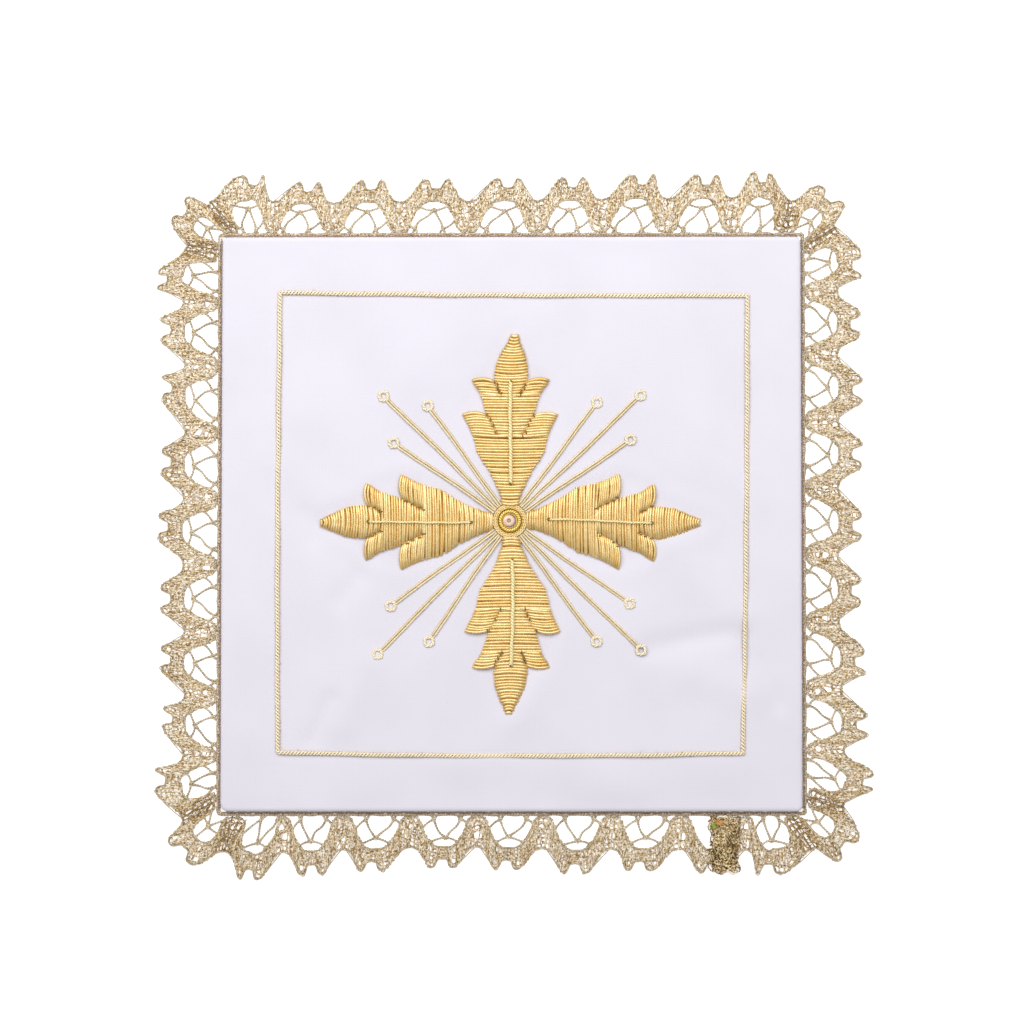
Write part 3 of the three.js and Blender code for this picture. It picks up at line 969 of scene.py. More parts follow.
def cloth_lift(x, y):
    """The cloth's unevenness: creases, soft waves, and puckers by the cross and the border."""
    away = arm_clearance(x, y)
    drawn = -0.22 * np.exp(-((away / 1.8) ** 2)) + 0.10 * np.exp(-(((away - 4.2) / 2.2) ** 2))
    pucker = 0.05 * np.sin(x * 1.9) * np.sin(y * 2.1) * np.exp(-((away / 3.5) ** 2))
    waves = 0.12 * np.sin(x / 9.0 + 1.3) * np.sin(y / 11.0 + 0.4)
    waves += 0.06 * np.sin(x / 5.3 + y / 7.1) + 0.05 * np.sin(y / 4.4 - x / 12.7 + 2.0)
    from_border = np.abs(np.maximum(np.abs(x), np.abs(y)) - BORDER_OUT)
    trough = -0.14 * np.exp(-((from_border / 0.9) ** 2))
    return crease_height(x, y) + drawn + pucker + waves + trough


def make_cloth(cell, material):
    """The cloth square as a closed sheet: a grid on its face, a rounded rim and an underside.

    The grid is finer by its edges, and the cloth lies flat there.
    """
    last = CLOTH_FINE_LINES[-1]
    middle = CLOTH_SPAN / 2
    inner = np.linspace(last + cell, middle, round((middle - last) / cell))
    half = np.concatenate([CLOTH_FINE_LINES, inner]) / CLOTH_SPAN
    shares = np.concatenate([half, 1 - half[-2::-1]])
    corners = np.array([[c["x"], c["y"]] for c in PALL_CORNERS])
    inwards = -np.sign(corners)
    rim = corners + inwards * PALL_EDGE_ROUND
    u, v = np.meshgrid(shares, shares)
    weights = [(1 - u) * (1 - v), u * (1 - v), u * v, (1 - u) * v]
    grid = sum(w[..., None] * corner for w, corner in zip(weights, rim))
    for corner, towards, row in zip(rim, inwards, PALL_CORNERS):
        centre = corner + towards * (row["round"] - PALL_EDGE_ROUND)
        local = (grid - centre) * -towards
        inside = (local > 0).all(axis=2)
        square = local[inside]
        spread = square.max(axis=1, keepdims=True) / np.linalg.norm(square, axis=1, keepdims=True)
        grid[inside] = centre - towards * square * spread
    flat = grid.reshape(-1, 2)
    from_edge = np.minimum.reduce([u, v, 1 - u, 1 - v]).ravel() * CLOTH_SPAN
    fade = np.clip(from_edge / CLOTH_MARGIN, 0, 1)
    fade = fade * fade * (3 - 2 * fade)
    top = CLOTH_TOP + cloth_lift(flat[:, 0], flat[:, 1]) * fade
    cells, loop = grid_faces(len(shares), len(shares))
    outline = flat[loop]
    way = np.roll(outline, -1, axis=0) - np.roll(outline, 1, axis=0)
    outwards = np.column_stack([-way[:, 1], way[:, 0]])
    outwards /= np.linalg.norm(outwards, axis=1, keepdims=True)
    steps = np.radians([22.5, 45, 67.5, 90])
    levels = [(math.sin(a), CLOTH_TOP - PALL_EDGE_ROUND * (1 - math.cos(a))) for a in steps]
    levels += [(math.sin(a), PALL_EDGE_ROUND * (1 - math.cos(a))) for a in steps[::-1]]
    points = [raise_to(flat, top)]
    rings = [loop]
    made = len(flat)
    for spread, level in levels:
        points.append(raise_to(outline + outwards * PALL_EDGE_ROUND * spread, level))
        rings.append(np.arange(made, made + len(loop)))
        made += len(loop)
    points.append(raise_to(flat, 0.0))
    rings.append(loop + made)
    faces = [cells, cells[:, ::-1] + made]
    faces += [wall_faces(upper, lower) for upper, lower in zip(rings, rings[1:])]
    return smooth_mesh("pall_cloth", np.concatenate(points), np.concatenate(faces), material)


# The lace.


def lace_frame(i):
    """A side of the lace: its start, its end, its way along and its way out."""
    here, there = (PALL_CORNERS[k % 4] for k in (i, i + 1))
    start = np.array([here["x"], here["y"]])
    end = np.array([there["x"], there["y"]])
    along = (end - start) / np.linalg.norm(end - start)
    return start, end, along, np.array([-along[1], along[0]])


class Scallop:
    """One scallop of the lace: it turns a share across and a distance out into a place.

    The share runs from -1 in the valley before the scallop to 1 in the valley after it.
    """

    def __init__(self, number):
        number %= 4 * SCALLOPS_A_SIDE
        side, n = divmod(number, SCALLOPS_A_SIDE)
        row = LACE_SIDES[side]
        start, end, self.along, self.out = lace_frame(side)
        self.corner = n == SCALLOPS_A_SIDE - 1
        self.first, self.last = n == 0, n == SCALLOPS_A_SIDE - 2
        self.joined = side == JOIN_SIDE and n == JOIN_SCALLOP
        tips = [tip for other in LACE_SIDES for tip in other["tip"]]
        self.tip = tips[number]
        around = (tips[number - 1], tips[(number + 1) % len(tips)])
        self.valley_tips = [(self.tip + other) / 2 for other in around]
        # Painted shade: how much darker the band is laid at an end beside a corner.
        self.shades = [CORNER_SHADE * (self.corner or end) for end in (self.first, self.last)]
        turns = np.radians(row["turn"])
        if self.corner:
            self.centre = end
            self.turns = [turns[0], turns.mean(), turns[1]]
            return
        half = np.linalg.norm(end - start) / 2
        low = [at - VALLEY_IN * lean for at, lean in zip(row["at"], row["lean"])]
        before = LACE_SIDES[side - 1]["turn"][1] - 90
        starts = [-half, *[(a + b) / 2 for a, b in zip(low, low[1:])], half]
        leans = [math.radians(before), *[0.0] * (len(low) - 1), turns[0]]
        middle = row["at"][n] - CREST_OUT * row["lean"][n]
        self.stops = [starts[n], middle, starts[n + 1]]
        self.leans = [math.tan(leans[n]), row["lean"][n], math.tan(leans[n + 1])]
        self.centre = (start + end) / 2

    def place(self, share, out):
        """The flat place at this share across and this far out from the cloth."""
        share, out = np.broadcast_arrays(np.asarray(share, float), np.asarray(out, float))
        before, after = np.maximum(-share, 0), np.maximum(share, 0)
        drawn = CORNER_DRAW * np.maximum(1 - out / MEAN_VALLEY, 0)
        if self.corner:
            leant = share + CORNER_LEAN * out * (1 - share**2)
            angle = np.interp(leant, [-1, 0, 1], self.turns)[..., None]
            next_out = np.array([self.out[1], -self.out[0]])
            way = self.out * np.cos(angle) + next_out * np.sin(angle)
            back, on = (drawn * part**4 for part in (before, after))
            feet = self.along * back[..., None] + self.out * on[..., None]
            return self.centre + way * out[..., None] - feet
        foot = np.interp(share, [-1, 0, 1], self.stops)
        run = foot + out * np.interp(share, [-1, 0, 1], self.leans)
        spread = [np.interp(way * share, *CORNER_SPREAD) for way in (-1, 1)]
        run = run + drawn * (spread[0] * self.first - spread[1] * self.last)
        return self.centre + self.along * run[..., None] + self.out * out[..., None]

    def reach(self, share):
        """How far the tips stand out near this share, as a part of the mean."""
        share = np.asarray(share, float)
        valley = np.where(share < 0, *self.valley_tips)
        return (self.tip + (valley - self.tip) * np.abs(share) ** 1.5) / MEAN_TIP

    def inner(self, share):
        """The inner edge of the band at this share."""
        share = np.asarray(share, float)
        wide = self.corner | (share < 0) & self.first | (share > 0) & self.last
        usual, by_corner = (along_table(table, share) for table in (BAND_INNER, CORNER_INNER))
        return np.where(wide, by_corner, usual) * self.reach(share)

    def outer(self, share):
        """The outer edge of the band at this share, up its picots."""
        share = np.asarray(share, float)
        before, after = (along_table(table, share) for table in (BAND_BEFORE, BAND_AFTER))
        return np.where(share < 0, before, after) * self.reach(share)

    def band(self, share, across):
        """A place in the band, across it from the inner edge, 0, to the outer, 1."""
        share = np.asarray(share, float)
        leant = share + BAND_SLANT * np.sin(math.pi * share) * (np.asarray(across) - 0.5)
        out = self.inner(share) + (self.outer(share) - self.inner(share)) * across
        return self.place(leant, out)


def band_steps(scallop, pitch):
    """Shares along a scallop's band, about one pitch apart on its middle line."""
    shares = np.linspace(-1, 1, 161)
    line = scallop.band(shares, np.full(161, 0.45))
    run = np.concatenate([[0], np.cumsum(np.linalg.norm(np.diff(line, axis=0), axis=1))])
    return np.interp(np.linspace(0, run[-1], round(run[-1] / pitch) + 1), run, shares)


def valley_holes(number, chance):
    """The holes in the valley after a scallop, as (middle, radius)."""
    scallop = Scallop(number)
    beside = Scallop(number + 1)
    if scallop.corner or beside.corner:
        out, size = CORNER_HOLE
        return [(scallop.place(1.0, out + chance.normal(0, 0.4)), size)]
    holes = []
    for out, size in VALLEY_HOLES:
        if chance.random() < HOLES_KEPT:
            share = 1 + chance.normal(0, 0.05)
            near, share = (scallop, share) if share < 1 else (beside, share - 2)
            spot = near.place(share, out + chance.normal(0, 0.3))
            holes.append((spot, size * chance.uniform(0.7, 1.2)))
    return holes


def band_holes(scallop, chance):
    """The pinholes in the band, as (middle, radius)."""
    holes = []
    for share in np.arange(-0.82, 0.83, 0.17):
        across = 0.66 + chance.normal(0, 0.1)
        spot = scallop.band(share + chance.normal(0, 0.02), across)
        holes.append((spot, chance.uniform(0.16, 0.32)))
    for share in PICOT_HOLES:
        spot = scallop.band(share, 0.78 + chance.normal(0, 0.05))
        holes.append((spot, chance.uniform(0.25, 0.4)))
    return holes


def open_holes(points, holes):
    """Bends a thread away from the holes beside it."""
    for middle, size in holes:
        away = points - middle
        far = np.linalg.norm(away, axis=1, keepdims=True) + 1e-6
        reach = size * 2.6
        pushed = middle + away / far * (size + far * (reach - size) / reach)
        points = np.where(far < reach, pushed, points)
    return points


def uneven(chance, count, middle, spread):
    """Numbers that wander about a middle value, for the tone along a thread."""
    loose = chance.normal(0, spread, count)
    return middle + (loose + np.roll(loose, 1)) / 1.4


def weave_band(strands, scallop, holes, sizes, chance):
    """Cloth stitch: warps along the band and a weft that zigzags over and under them.

    Most warps go over and under by turns. A few lie below them, laid dark as painted shade
    under the upper threads, and a few more fill the ends of the band, where it is crowded.
    """
    thick = sizes.lace_thread / 2

    def lay(share, across, level, tone, size=1.0):
        # Painted shade: the band is laid darker in tone at the ends beside a corner.
        shade = np.interp(share, [-1, -0.6, 0.6, 1], [scallop.shades[0], 0, 0, scallop.shades[1]])
        line = open_holes(scallop.band(share, across), holes)
        strands.lay(
            raise_to(line, level),
            thick=thick * size * chance.uniform(0.85, 1.12),
            tone=uneven(chance, len(line), tone, 0.30) - shade,
        )

    steps = band_steps(scallop, sizes.weft_pitch / MM)
    count = len(steps)
    for j, warp in enumerate(WARPS):
        level = over_under(count, 0.46, 0.14, j)
        lay(steps, warp + chance.normal(0, 0.03, count), level, 0.45 + chance.normal(0, 0.12))
    # The low warps' dark tone is painted shade under the upper threads.
    for warp in LOW_WARPS:
        lay(steps[::2], warp + chance.normal(0, 0.06, len(steps[::2])), 0.22, 0.15)
    for side in (-1, 1):
        for warp in END_WARPS:
            share = np.linspace(0.5, 1.0, 13) * side
            wander = warp + chance.normal(0, 0.04, 13)
            lay(share, wander, over_under(13, 0.55, 0.16), 0.55, 0.95)
    jumps = steps + chance.normal(0, 0.012, count)
    for k in range(count - 1):
        bends = 13 if abs(steps[k]) > 0.66 else 8
        across = np.linspace(-0.01, 1.01, bends)
        if k % 2:
            across = across[::-1]
        share = np.clip(np.linspace(jumps[k], jumps[k + 1], bends), -1, 1)
        lay(share, across, over_under(bends, 0.52, 0.2, k), 0.5 + chance.normal(0, 0.2))


def make_edges(edges, plaits, scallop, sizes, chance):
    """The smooth threads along the band's edges, round the picots, and its inner braid."""
    thick = sizes.lace_thread / 2
    shares = np.linspace(-1, 1, 101)
    for back, size in ((0.0, 1.1), (0.3, 0.9)):
        wander = 0.06 * np.sin(shares * 31 + chance.uniform(0, 6))
        line = scallop.place(shares, scallop.outer(shares) - back + wander)
        edges.lay(
            raise_to(line, 0.6 - back), thick=thick * size, tone=uneven(chance, 101, 0.45, 0.15)
        )
    for tip, far in STRAIGHT_RUNS:
        if chance.random() < 0.5:
            ends = np.array([far, (far + tip) / 2, tip])
            lift = np.array([0.2, 0.15, 0.1])
            straight = np.interp([0, 0.5, 1], [0, 1], scallop.outer(ends[[0, 2]]))
            line = rounded(scallop.place(ends, straight + lift), 0.8, 1)
            edges.lay(raise_to(line, 0.75), thick=thick * 0.8, tone=0.55)
    for tip in PICOT_RINGS:
        if chance.random() < 0.6:
            spot = scallop.place(tip + chance.normal(0, 0.03), scallop.outer(tip) - 0.1)
            ring = circle(spot, chance.uniform(0.4, 0.65), 0.7, 8)
            edges.lay(ring, closed=True, thick=thick * 0.7, tone=0.6 + chance.normal(0, 0.2))
    run = np.linspace(-0.92, 0.92, 41)
    line = scallop.place(run, scallop.inner(run) + 0.2)
    plaits.lay(raise_to(line, 0.5), thick=1.3, tone=0.4)


def knot(strands, middle, size, thick, chance, height=0.5):
    """A small woven knot: three loops laid over each other."""
    for turn in range(3):
        squash = chance.uniform(0.55, 0.85)
        angle = turn * math.pi / 3 + chance.uniform(-0.3, 0.3)
        ring = circle((0, 0), size, 0.0, 8)[:, :2] * (1, squash)
        cos, sin = math.cos(angle), math.sin(angle)
        flat = ring @ np.array([[cos, sin], [-sin, cos]]) + middle
        level = height + 0.14 * np.sin(np.arange(8) * math.pi / 2 + turn)
        strands.lay(
            raise_to(flat, level), closed=True, thick=thick, tone=0.5 + chance.normal(0, 0.2)
        )


def make_ground(threads, plaits, scallop, sizes, chance):
    """The plaits under a crest, with a knot in their middle and two by the foot."""
    thick = sizes.lace_thread / 2
    jog = chance.normal(0, 0.025, 6)
    lift = chance.normal(0, 0.2, 6)

    def plait(*stops, sag=0.0):
        shares, outs = np.array(stops, float).T
        line = rounded(scallop.place(shares, outs), 0.4, 4)
        run = np.linspace(0, 1, len(line))
        outwards = scallop.place(0.0, 10.0) - scallop.place(0.0, 0.0)
        line = line + np.outer(sag * 0.4 * run * (1 - run), outwards)
        thicker = 0.5 * np.abs(2 * run - 1) ** 6
        plaits.lay(raise_to(line, 0.5), thick=1.4 + thicker, tone=chance.uniform(0.3, 0.7))

    if scallop.corner:
        hub = (CORNER_HUB[0] + jog[0], CORNER_HUB[1] + lift[0])
        for share in (-0.66, 0.1, 0.7):
            plait(hub, (share, scallop.inner(share) + 0.4), sag=chance.normal(0, 0.2))
        for share in (-0.8, 0.86):
            plait(hub, (share, 2.6), sag=-0.25)
        knot(threads, scallop.place(*hub), 0.6, thick, chance)
        return
    hub = (jog[0], HUB_OUT * scallop.tip / MEAN_TIP + lift[0])
    high = scallop.inner(0.40) + 0.1
    plait((-0.43, high), hub, sag=-0.25 + jog[1] * 4)
    plait(hub, (0.41, high), sag=-0.2 + jog[2] * 4)
    lows = [(share + jog[k], out + lift[k]) for k, (share, out) in enumerate(LOW_KNOTS, 1)]
    for side, low, bend in zip((-1, 1), lows, LOW_BENDS):
        plait((hub[0] + 0.04 * side, hub[1] - 0.4), bend, (low[0] * 0.8, low[1] + 1.8), low)
        share = side * (0.70 if side < 0 else 0.66)
        plait(low, (share, scallop.inner(share) + 0.4), sag=-0.5)
        plait((low[0] - 0.02, low[1] - 0.2), (low[0] - 0.09, 0.9))
        plait((low[0] + 0.02, low[1] - 0.2), (low[0] + 0.09, 0.9))
        knot(threads, scallop.place(*low), 0.45, thick * 0.95, chance)
        plait((side * 0.95, scallop.inner(0.95) + 0.6), (side * (0.88 + jog[3]), 0.9))
    knot(threads, scallop.place(*hub), 0.55, thick, chance)


def make_foot(threads, plaits, scallop, sizes, chance):
    """The foot of the lace: a twisted cord, a finer thread beside it and stitches over both."""
    thick = sizes.lace_thread / 2
    shares = np.linspace(-1, 1, 25)
    wander = 0.10 * np.sin(shares * 9 + chance.uniform(0, 6))
    plaits.lay(raise_to(scallop.place(shares, 0.95 + wander), 0.5), thick=2.0, tone=0.35)
    line = scallop.place(shares, 0.38 + 0.08 * np.sin(shares * 13 + chance.uniform(0, 6)))
    threads.lay(raise_to(line, 0.6), thick=thick, tone=uneven(chance, 25, 0.6, 0.15))
    run = np.linalg.norm(scallop.place(1.0, 1.0) - scallop.place(-1.0, 1.0))
    count = 2 if scallop.corner else round(run / 0.95)
    stops = np.linspace(-1, 1, count + 1)
    for k in range(count):
        outs = [0.25, 0.65, 1.15] if k % 2 else [1.15, 0.65, 0.25]
        share = np.linspace(stops[k], stops[k + 1], 3) + chance.normal(0, 0.01)
        threads.lay(
            raise_to(scallop.place(np.clip(share, -1, 1), outs), [0.6, 0.85, 0.6]),
            thick=thick * 0.9,
            tone=0.4 + chance.normal(0, 0.25),
        )


def lace_strands(side, sizes, chance):
    """All the threads of one side of the lace, with the scallop that turns its corner."""
    threads, edges, plaits = Strands(), Strands(), Strands()
    first = side * SCALLOPS_A_SIDE
    for number in range(first, first + SCALLOPS_A_SIDE):
        scallop = Scallop(number)
        holes = band_holes(scallop, chance)
        for valley in (number - 1, number):
            holes += valley_holes(valley, np.random.default_rng(valley + 100))
        weave_band(threads, scallop, holes, sizes, chance)
        make_edges(edges, plaits, scallop, sizes, chance)
        make_foot(threads, plaits, scallop, sizes, chance)
        if not scallop.joined:
            make_ground(threads, plaits, scallop, sizes, chance)
    return threads, edges, plaits


# Operators.

# The studio: the light of the surroundings, the floor, the soft box above it and the
# camera, which looks straight down. Lengths are in metres.
STUDIO_COLOUR = (0.97, 0.98, 1.0, 1)
STUDIO_STRENGTH = 0.36
FLOOR_REACH = 3.0
LAMP_PLACE = (-0.14, 0.42, 0.70)
LAMP_SIZE = (1.3, 0.76)
LAMP_POWER = 8.6
LENS = 100.0
SENSOR = 36.0
SEEN_WIDTH = 0.2810
SEEN_MIDDLE = (0.00014, 0.00343)


class PALL_OT_stage(bpy.types.Operator):
    """Sets up the floor, the studio light and the camera above the pall."""

    bl_idname = "pall.stage"
    bl_label = "Stage"

    def execute(self, context):
        scene = context.scene
        scene.view_settings.view_transform = "Standard"
        world = bpy.data.worlds.new("studio")
        world.use_nodes = True
        light = world.node_tree.nodes["Background"].inputs
        light["Color"].default_value = STUDIO_COLOUR
        light["Strength"].default_value = STUDIO_STRENGTH
        scene.world = world
        floor_mesh = bpy.data.meshes.new("floor")
        corners = [(x * FLOOR_REACH, y * FLOOR_REACH, 0) for x, y in SQUARE]
        floor_mesh.from_pydata(corners, [], [(0, 1, 2, 3)])
        floor_mesh.materials.append(floor_material())
        floor = place("floor", floor_mesh)
        lamp = bpy.data.lights.new("overhead", "AREA")
        lamp.shape = "RECTANGLE"
        lamp.size, lamp.size_y = LAMP_SIZE
        lamp.energy = LAMP_POWER
        lens = bpy.data.cameras.new("camera")
        lens.lens = LENS
        lens.sensor_width = SENSOR
        overhead = bpy.data.objects.new("overhead", lamp)
        overhead.location = LAMP_PLACE
        camera = bpy.data.objects.new("camera", lens)
        camera.location = (*SEEN_MIDDLE, CLOTH_TOP * MM + SEEN_WIDTH * LENS / SENSOR)
        for made in (overhead, camera):
            scene.collection.objects.link(made)
        scene.camera = camera
        return {"FINISHED"}


class PALL_OT_cloth(bpy.types.Operator):
    """Makes the white cloth square."""

    bl_idname = "pall.cloth"
    bl_label = "Cloth"

    def execute(self, context):
        sizes, colours = context.scene.pall_sizes, context.scene.pall_colours
        piece = make_cloth(sizes.cloth_cell / MM, cloth_material(sizes, colours))
        settle(piece, "white_cloth", "pall_body")
        return {"FINISHED"}


class PALL_OT_lace(bpy.types.Operator):
    """Makes the gold lace edging, one piece for each side with its corner."""

    bl_idname = "pall.lace"
    bl_label = "Lace"

    def execute(self, context):
        sizes, colours = context.scene.pall_sizes, context.scene.pall_colours
        thread, cord = thread_tree(), cord_tree()
        gilt = wire_material("gilt_lace_thread", colours.lace_deep, colours.lace_bright)
        smooth = wire_material("smooth_lace_gimp", colours.edge_deep, colours.edge)
        pitch = sizes.plait_pitch / MM
        chance = np.random.default_rng(11)
        for i, row in enumerate(LACE_SIDES):
            threads, edges, plaits = lace_strands(i, sizes, chance)
            name = f"lace_{row['name']}"
            parts = [
                grow(name, threads, thread, gilt, sides=4),
                grow(name + "_edges", edges, thread, smooth, sides=6),
                twist(name + "_plaits", plaits, cord, smooth, LACE_PLAIT, pitch, pitch / 6, 4),
            ]
            piece = join(name, *parts)
            settle(piece, "gold_lace", "lace_edging")
        return {"FINISHED"}


def bunch_threads(spot, wide, thick, chance):
    """The threads of the lace's join, from the ones below, dark as painted shade, to the loops
    on top.

    Spot turns shares across and down the join into a place.
    """
    threads = Strands()
    # The threads below are laid in the darkest tone, as painted shade under the bunch.
    for k in range(JOIN_BELOW):
        middle = spot(chance.uniform(-0.8, 0.8), chance.uniform(0.03, 0.97))
        way = np.array([math.cos(k * 2.4), math.sin(k * 2.4)]) * chance.uniform(0.8, 1.5)
        flat = [middle - way, middle + way * 0.1, middle + way]
        threads.lay(raise_to(flat, 0.9), thick=thick * 1.2, tone=0.0)
    run = np.linspace(-1, 1, 9)
    for k in range(JOIN_ACROSS):
        share = k / (JOIN_ACROSS - 1)
        x, y = spot(0, share)
        reach = wide * (0.62 + 0.30 * math.sin(share * 7.0 + 0.6) + 0.1 * math.sin(share * 23))
        across = x + 0.6 * math.sin(share * 9.0) + run * reach
        down = y + 0.5 * np.sin(run * 6 + k) + chance.normal(0, 0.12, 9)
        level = over_under(9, 1.25, 0.22, k) + 0.4 * (1 - run**2)
        line = np.column_stack([across, down, level])
        threads.lay(line, thick=thick * 0.95, tone=uneven(chance, 9, 0.45, 0.35))
    run = np.linspace(0, 1, 30)
    for k in range(JOIN_DOWN):
        share = 2 * k / (JOIN_DOWN - 1) - 1
        x, y = spot(share * (0.85 + 0.1 * np.sin(run * 9 + k)), 0.02 + 0.96 * run)
        level = over_under(30, 1.35, 0.25, k) + 0.25 * np.sin(run * math.pi)
        line = np.column_stack([x + 0.35 * np.sin(run * 26 + k * 1.7), y, level])
        threads.lay(line, thick=thick, tone=uneven(chance, 30, 0.45, 0.35))
    for _ in range(JOIN_LOOPS):
        middle = spot(chance.uniform(-0.8, 0.8), chance.uniform(0.04, 0.98))
        knot(threads, middle, chance.uniform(0.5, 0.85), thick * 0.75, chance, 1.8)
    return threads


class PALL_OT_join(bpy.types.Operator):
    """Makes the lapped and bunched join of the lace."""

    bl_idname = "pall.join"
    bl_label = "Lace join"

    def execute(self, context):
        low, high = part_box("lace_join")
        middle = (low.x + high.x) / 2 / MM + JOIN_SHIFT
        wide = (high.x - low.x) / 2 / MM
        top, bottom = high.y / MM, low.y / MM
        thick = context.scene.pall_sizes.lace_thread / 2
        chance = np.random.default_rng(23)

        def spot(across, down):
            return np.array([middle + wide * across, top + (bottom - top) * down])

        tree = thread_tree()
        material = wire_material("bunched_lace_thread", linear("A07C3E"), linear("FFECBE"))
        threads = bunch_threads(spot, wide, thick, chance)
        parts = [grow("lace_lap", threads, tree, material, sides=5)]
        for name, deep, bright, at in JOIN_ENDS:
            ends = Strands()
            for _ in range(4):
                loose = np.array(at) + chance.normal(0, 0.35, 2)
                knot(ends, loose, chance.uniform(0.4, 0.7), thick, chance, 2.1)
            dyed = wire_material(f"{name}_thread_end", linear(deep), linear(bright))
            parts.append(grow(f"{name}_end", ends, tree, dyed, sides=5))
        settle(join("lace_lap", *parts), "gold_lace", "lace_join")
        return {"FINISHED"}


class PALL_OT_whipping(bpy.types.Operator):
    """Makes the sewing thread along the cloth's edge, where the lace's foot is sewn on. Its
    mauve-brown line also stands as painted shade in the joint between the cloth and the lace.
    """

    bl_idname = "pall.whipping"
    bl_label = "Whipping"

    def execute(self, context):
        chance = np.random.default_rng(5)
        threads = Strands()
        for side in range(4):
            start, end, along, out = lace_frame(side)
            long = np.linalg.norm(end - start)
            run = np.arange(0.4, long - 0.3, 0.8)
            for phase in (0.0, 2.1):
                sway = 0.27 + 0.11 * np.sin(run * 1.9 + phase) + chance.normal(0, 0.04, len(run))
                level = 1.3 + 0.12 * np.sin(run * 1.3 + phase)
                line = start + along * run[:, None] + out * sway[:, None]
                threads.lay(raise_to(line, level), thick=WHIPPING_RADIUS * MM, tone=0.5)
        material = sewing_material(context.scene.pall_colours)
        piece = grow("whipping", threads, thread_tree(), material, sides=5)
        settle(piece, "gold_lace")
        return {"FINISHED"}


def couch(strands, spot, across, along, level, shape):
    """Lays one couching stitch over a cord."""
    sideways, forwards, upwards = np.array(shape).T
    flat = spot + np.outer(sideways, across) + np.outer(forwards, along)
    strands.lay(raise_to(flat, level + upwards), thick=COUCHING_RADIUS * MM, tone=0.3)


class PALL_OT_border(bpy.types.Operator):
    """Makes the twisted border cord and the stitches that couch it."""

    bl_idname = "pall.border"
    bl_label = "Border cord"

    def execute(self, context):
        sizes, colours = context.scene.pall_sizes, context.scene.pall_colours
        pale = wire_material("pale_gilt_cord", colours.cord_deep, colours.cord_bright)
        chance = np.random.default_rng(3)
        corners = np.array(BORDER_CORNERS)
        share = np.linspace(0, 1, 40, endpoint=False)[:, None]
        line = []
        for i, (here, bow) in enumerate(zip(corners, BORDER_BOWS)):
            there = corners[(i + 1) % 4]
            away = (here + there) / np.linalg.norm(here + there)
            bend = bow * 4 * share * (1 - share) + 0.07 * np.sin(share * 31 + i)
            line.append(here + (there - here) * share + away * bend)
        path = np.concatenate(line)
        level = CLOTH_TOP + BORDER_LEVEL
        cord = Strands()
        cord.lay(raise_to(path, level), closed=True, thick=1.0, tone=0.5)
        stitches = Strands()
        for spot in walk(path, BORDER_STEP)[:-1]:
            here = spot + chance.normal(0, 0.1, 2)
            upright = abs(abs(here[0]) - 64) < 1.5
            across = np.array([1.0, 0.0] if upright else [0.0, 1.0])
            couch(stitches, here, across, across[::-1], level, BORDER_COUCHING)
        pitch = sizes.cord_pitch / MM
        parts = [
            twist("border_twist", cord, cord_tree(), pale, BORDER_TWIST, pitch, pitch / 9),
            grow("border_couching", stitches, thread_tree(), pale, sides=5),
        ]
        piece = join("border_twist", *parts)
        settle(piece, "pale_gold_cord", "border_cord")
        return {"FINISHED"}


def lay_stitch(stitches, arm, ends, sizes, chance, lift=1.0, bow=0.25):
    """One purl stitch of an arm between two ends, each as (distance out, sideways).

    A short stitch rises less over the padding than a long one.
    """
    ends = arm_place(arm, ends)
    wide = np.linalg.norm(ends[1] - ends[0])
    rise = sizes.padding / MM * lift * min(1.0, 0.35 + wide / 7.0)
    stitches.lay(
        raise_to(ends, CLOTH_TOP + 0.22),
        thick=sizes.purl / 2 * arm["fine"] * chance.uniform(0.94, 1.03),
        tone=chance.normal(0.52, 0.11),
        rise=rise * MM * chance.uniform(0.92, 1.08),
        bow=(bow + chance.normal(0, 0.08)) * MM,
    )


def body_stitches(stitches, arm, rows, sizes, chance, bow):
    """Stitches right across a body, one behind the other."""
    outs, halves = (np.array(column) for column in zip(*rows))
    count = round((outs[-1] - outs[0]) / (sizes.stitch * arm["fine"] / MM)) + 1
    for out in np.linspace(outs[0], outs[-1], count):
        slant = chance.normal(0, math.tan(math.radians(arm["slant"]) * 0.5))
        half = np.interp(out, outs, halves) + chance.normal(0, 0.07)
        shift = out + chance.normal(0, 0.035)
        ends = [(shift + half * slant, half), (shift - half * slant, -half)]
        lay_stitch(stitches, arm, ends, sizes, chance, bow=bow)


def lobe_stitches(stitches, arm, lobe, sizes, chance):
    """Stitches of the two lobes, from the seam to the edge, longer and bowed by the tip."""
    seam, edge = walk(lobe["seam"], 0.1), walk(lobe["edge"], 0.1)
    long = max(len(seam), len(edge)) * 0.1
    count = round(long / (sizes.stitch * arm["fine"] / MM)) + 1
    for side in (-1, 1):
        for share in np.arange(count) / (count - 1):
            ends = [line[round(share * (len(line) - 1))] * (1, side) for line in (seam, edge)]
            bow = side * (0.1 + 0.5 * share**2)
            lay_stitch(stitches, arm, ends, sizes, chance, lift=0.95, bow=bow)


def seam_ends(ends, arm, lobe, chance):
    """The ends of wire that go down into the cloth along a lobe's seam, brown as painted shade."""
    at = walk(lobe["seam"], 0.1)
    top = LEAF_TOP - 0.12
    for side in (-1, 1):
        for share in SEAM_PLACES:
            if chance.random() < SEAM_KEPT:
                out, across = at[round(share * (len(at) - 1))] + chance.normal(0, 0.15, 2)
                long = chance.uniform(0.25, 0.55)
                across *= side
                line = [(out - long, across - 0.1), (out, across), (out + long, across)]
                path = raise_to(arm_place(arm, line), [top - 0.3, top, top - 0.3])
                ends.lay(path, thick=SEAM_RADIUS * MM, tone=0.3)


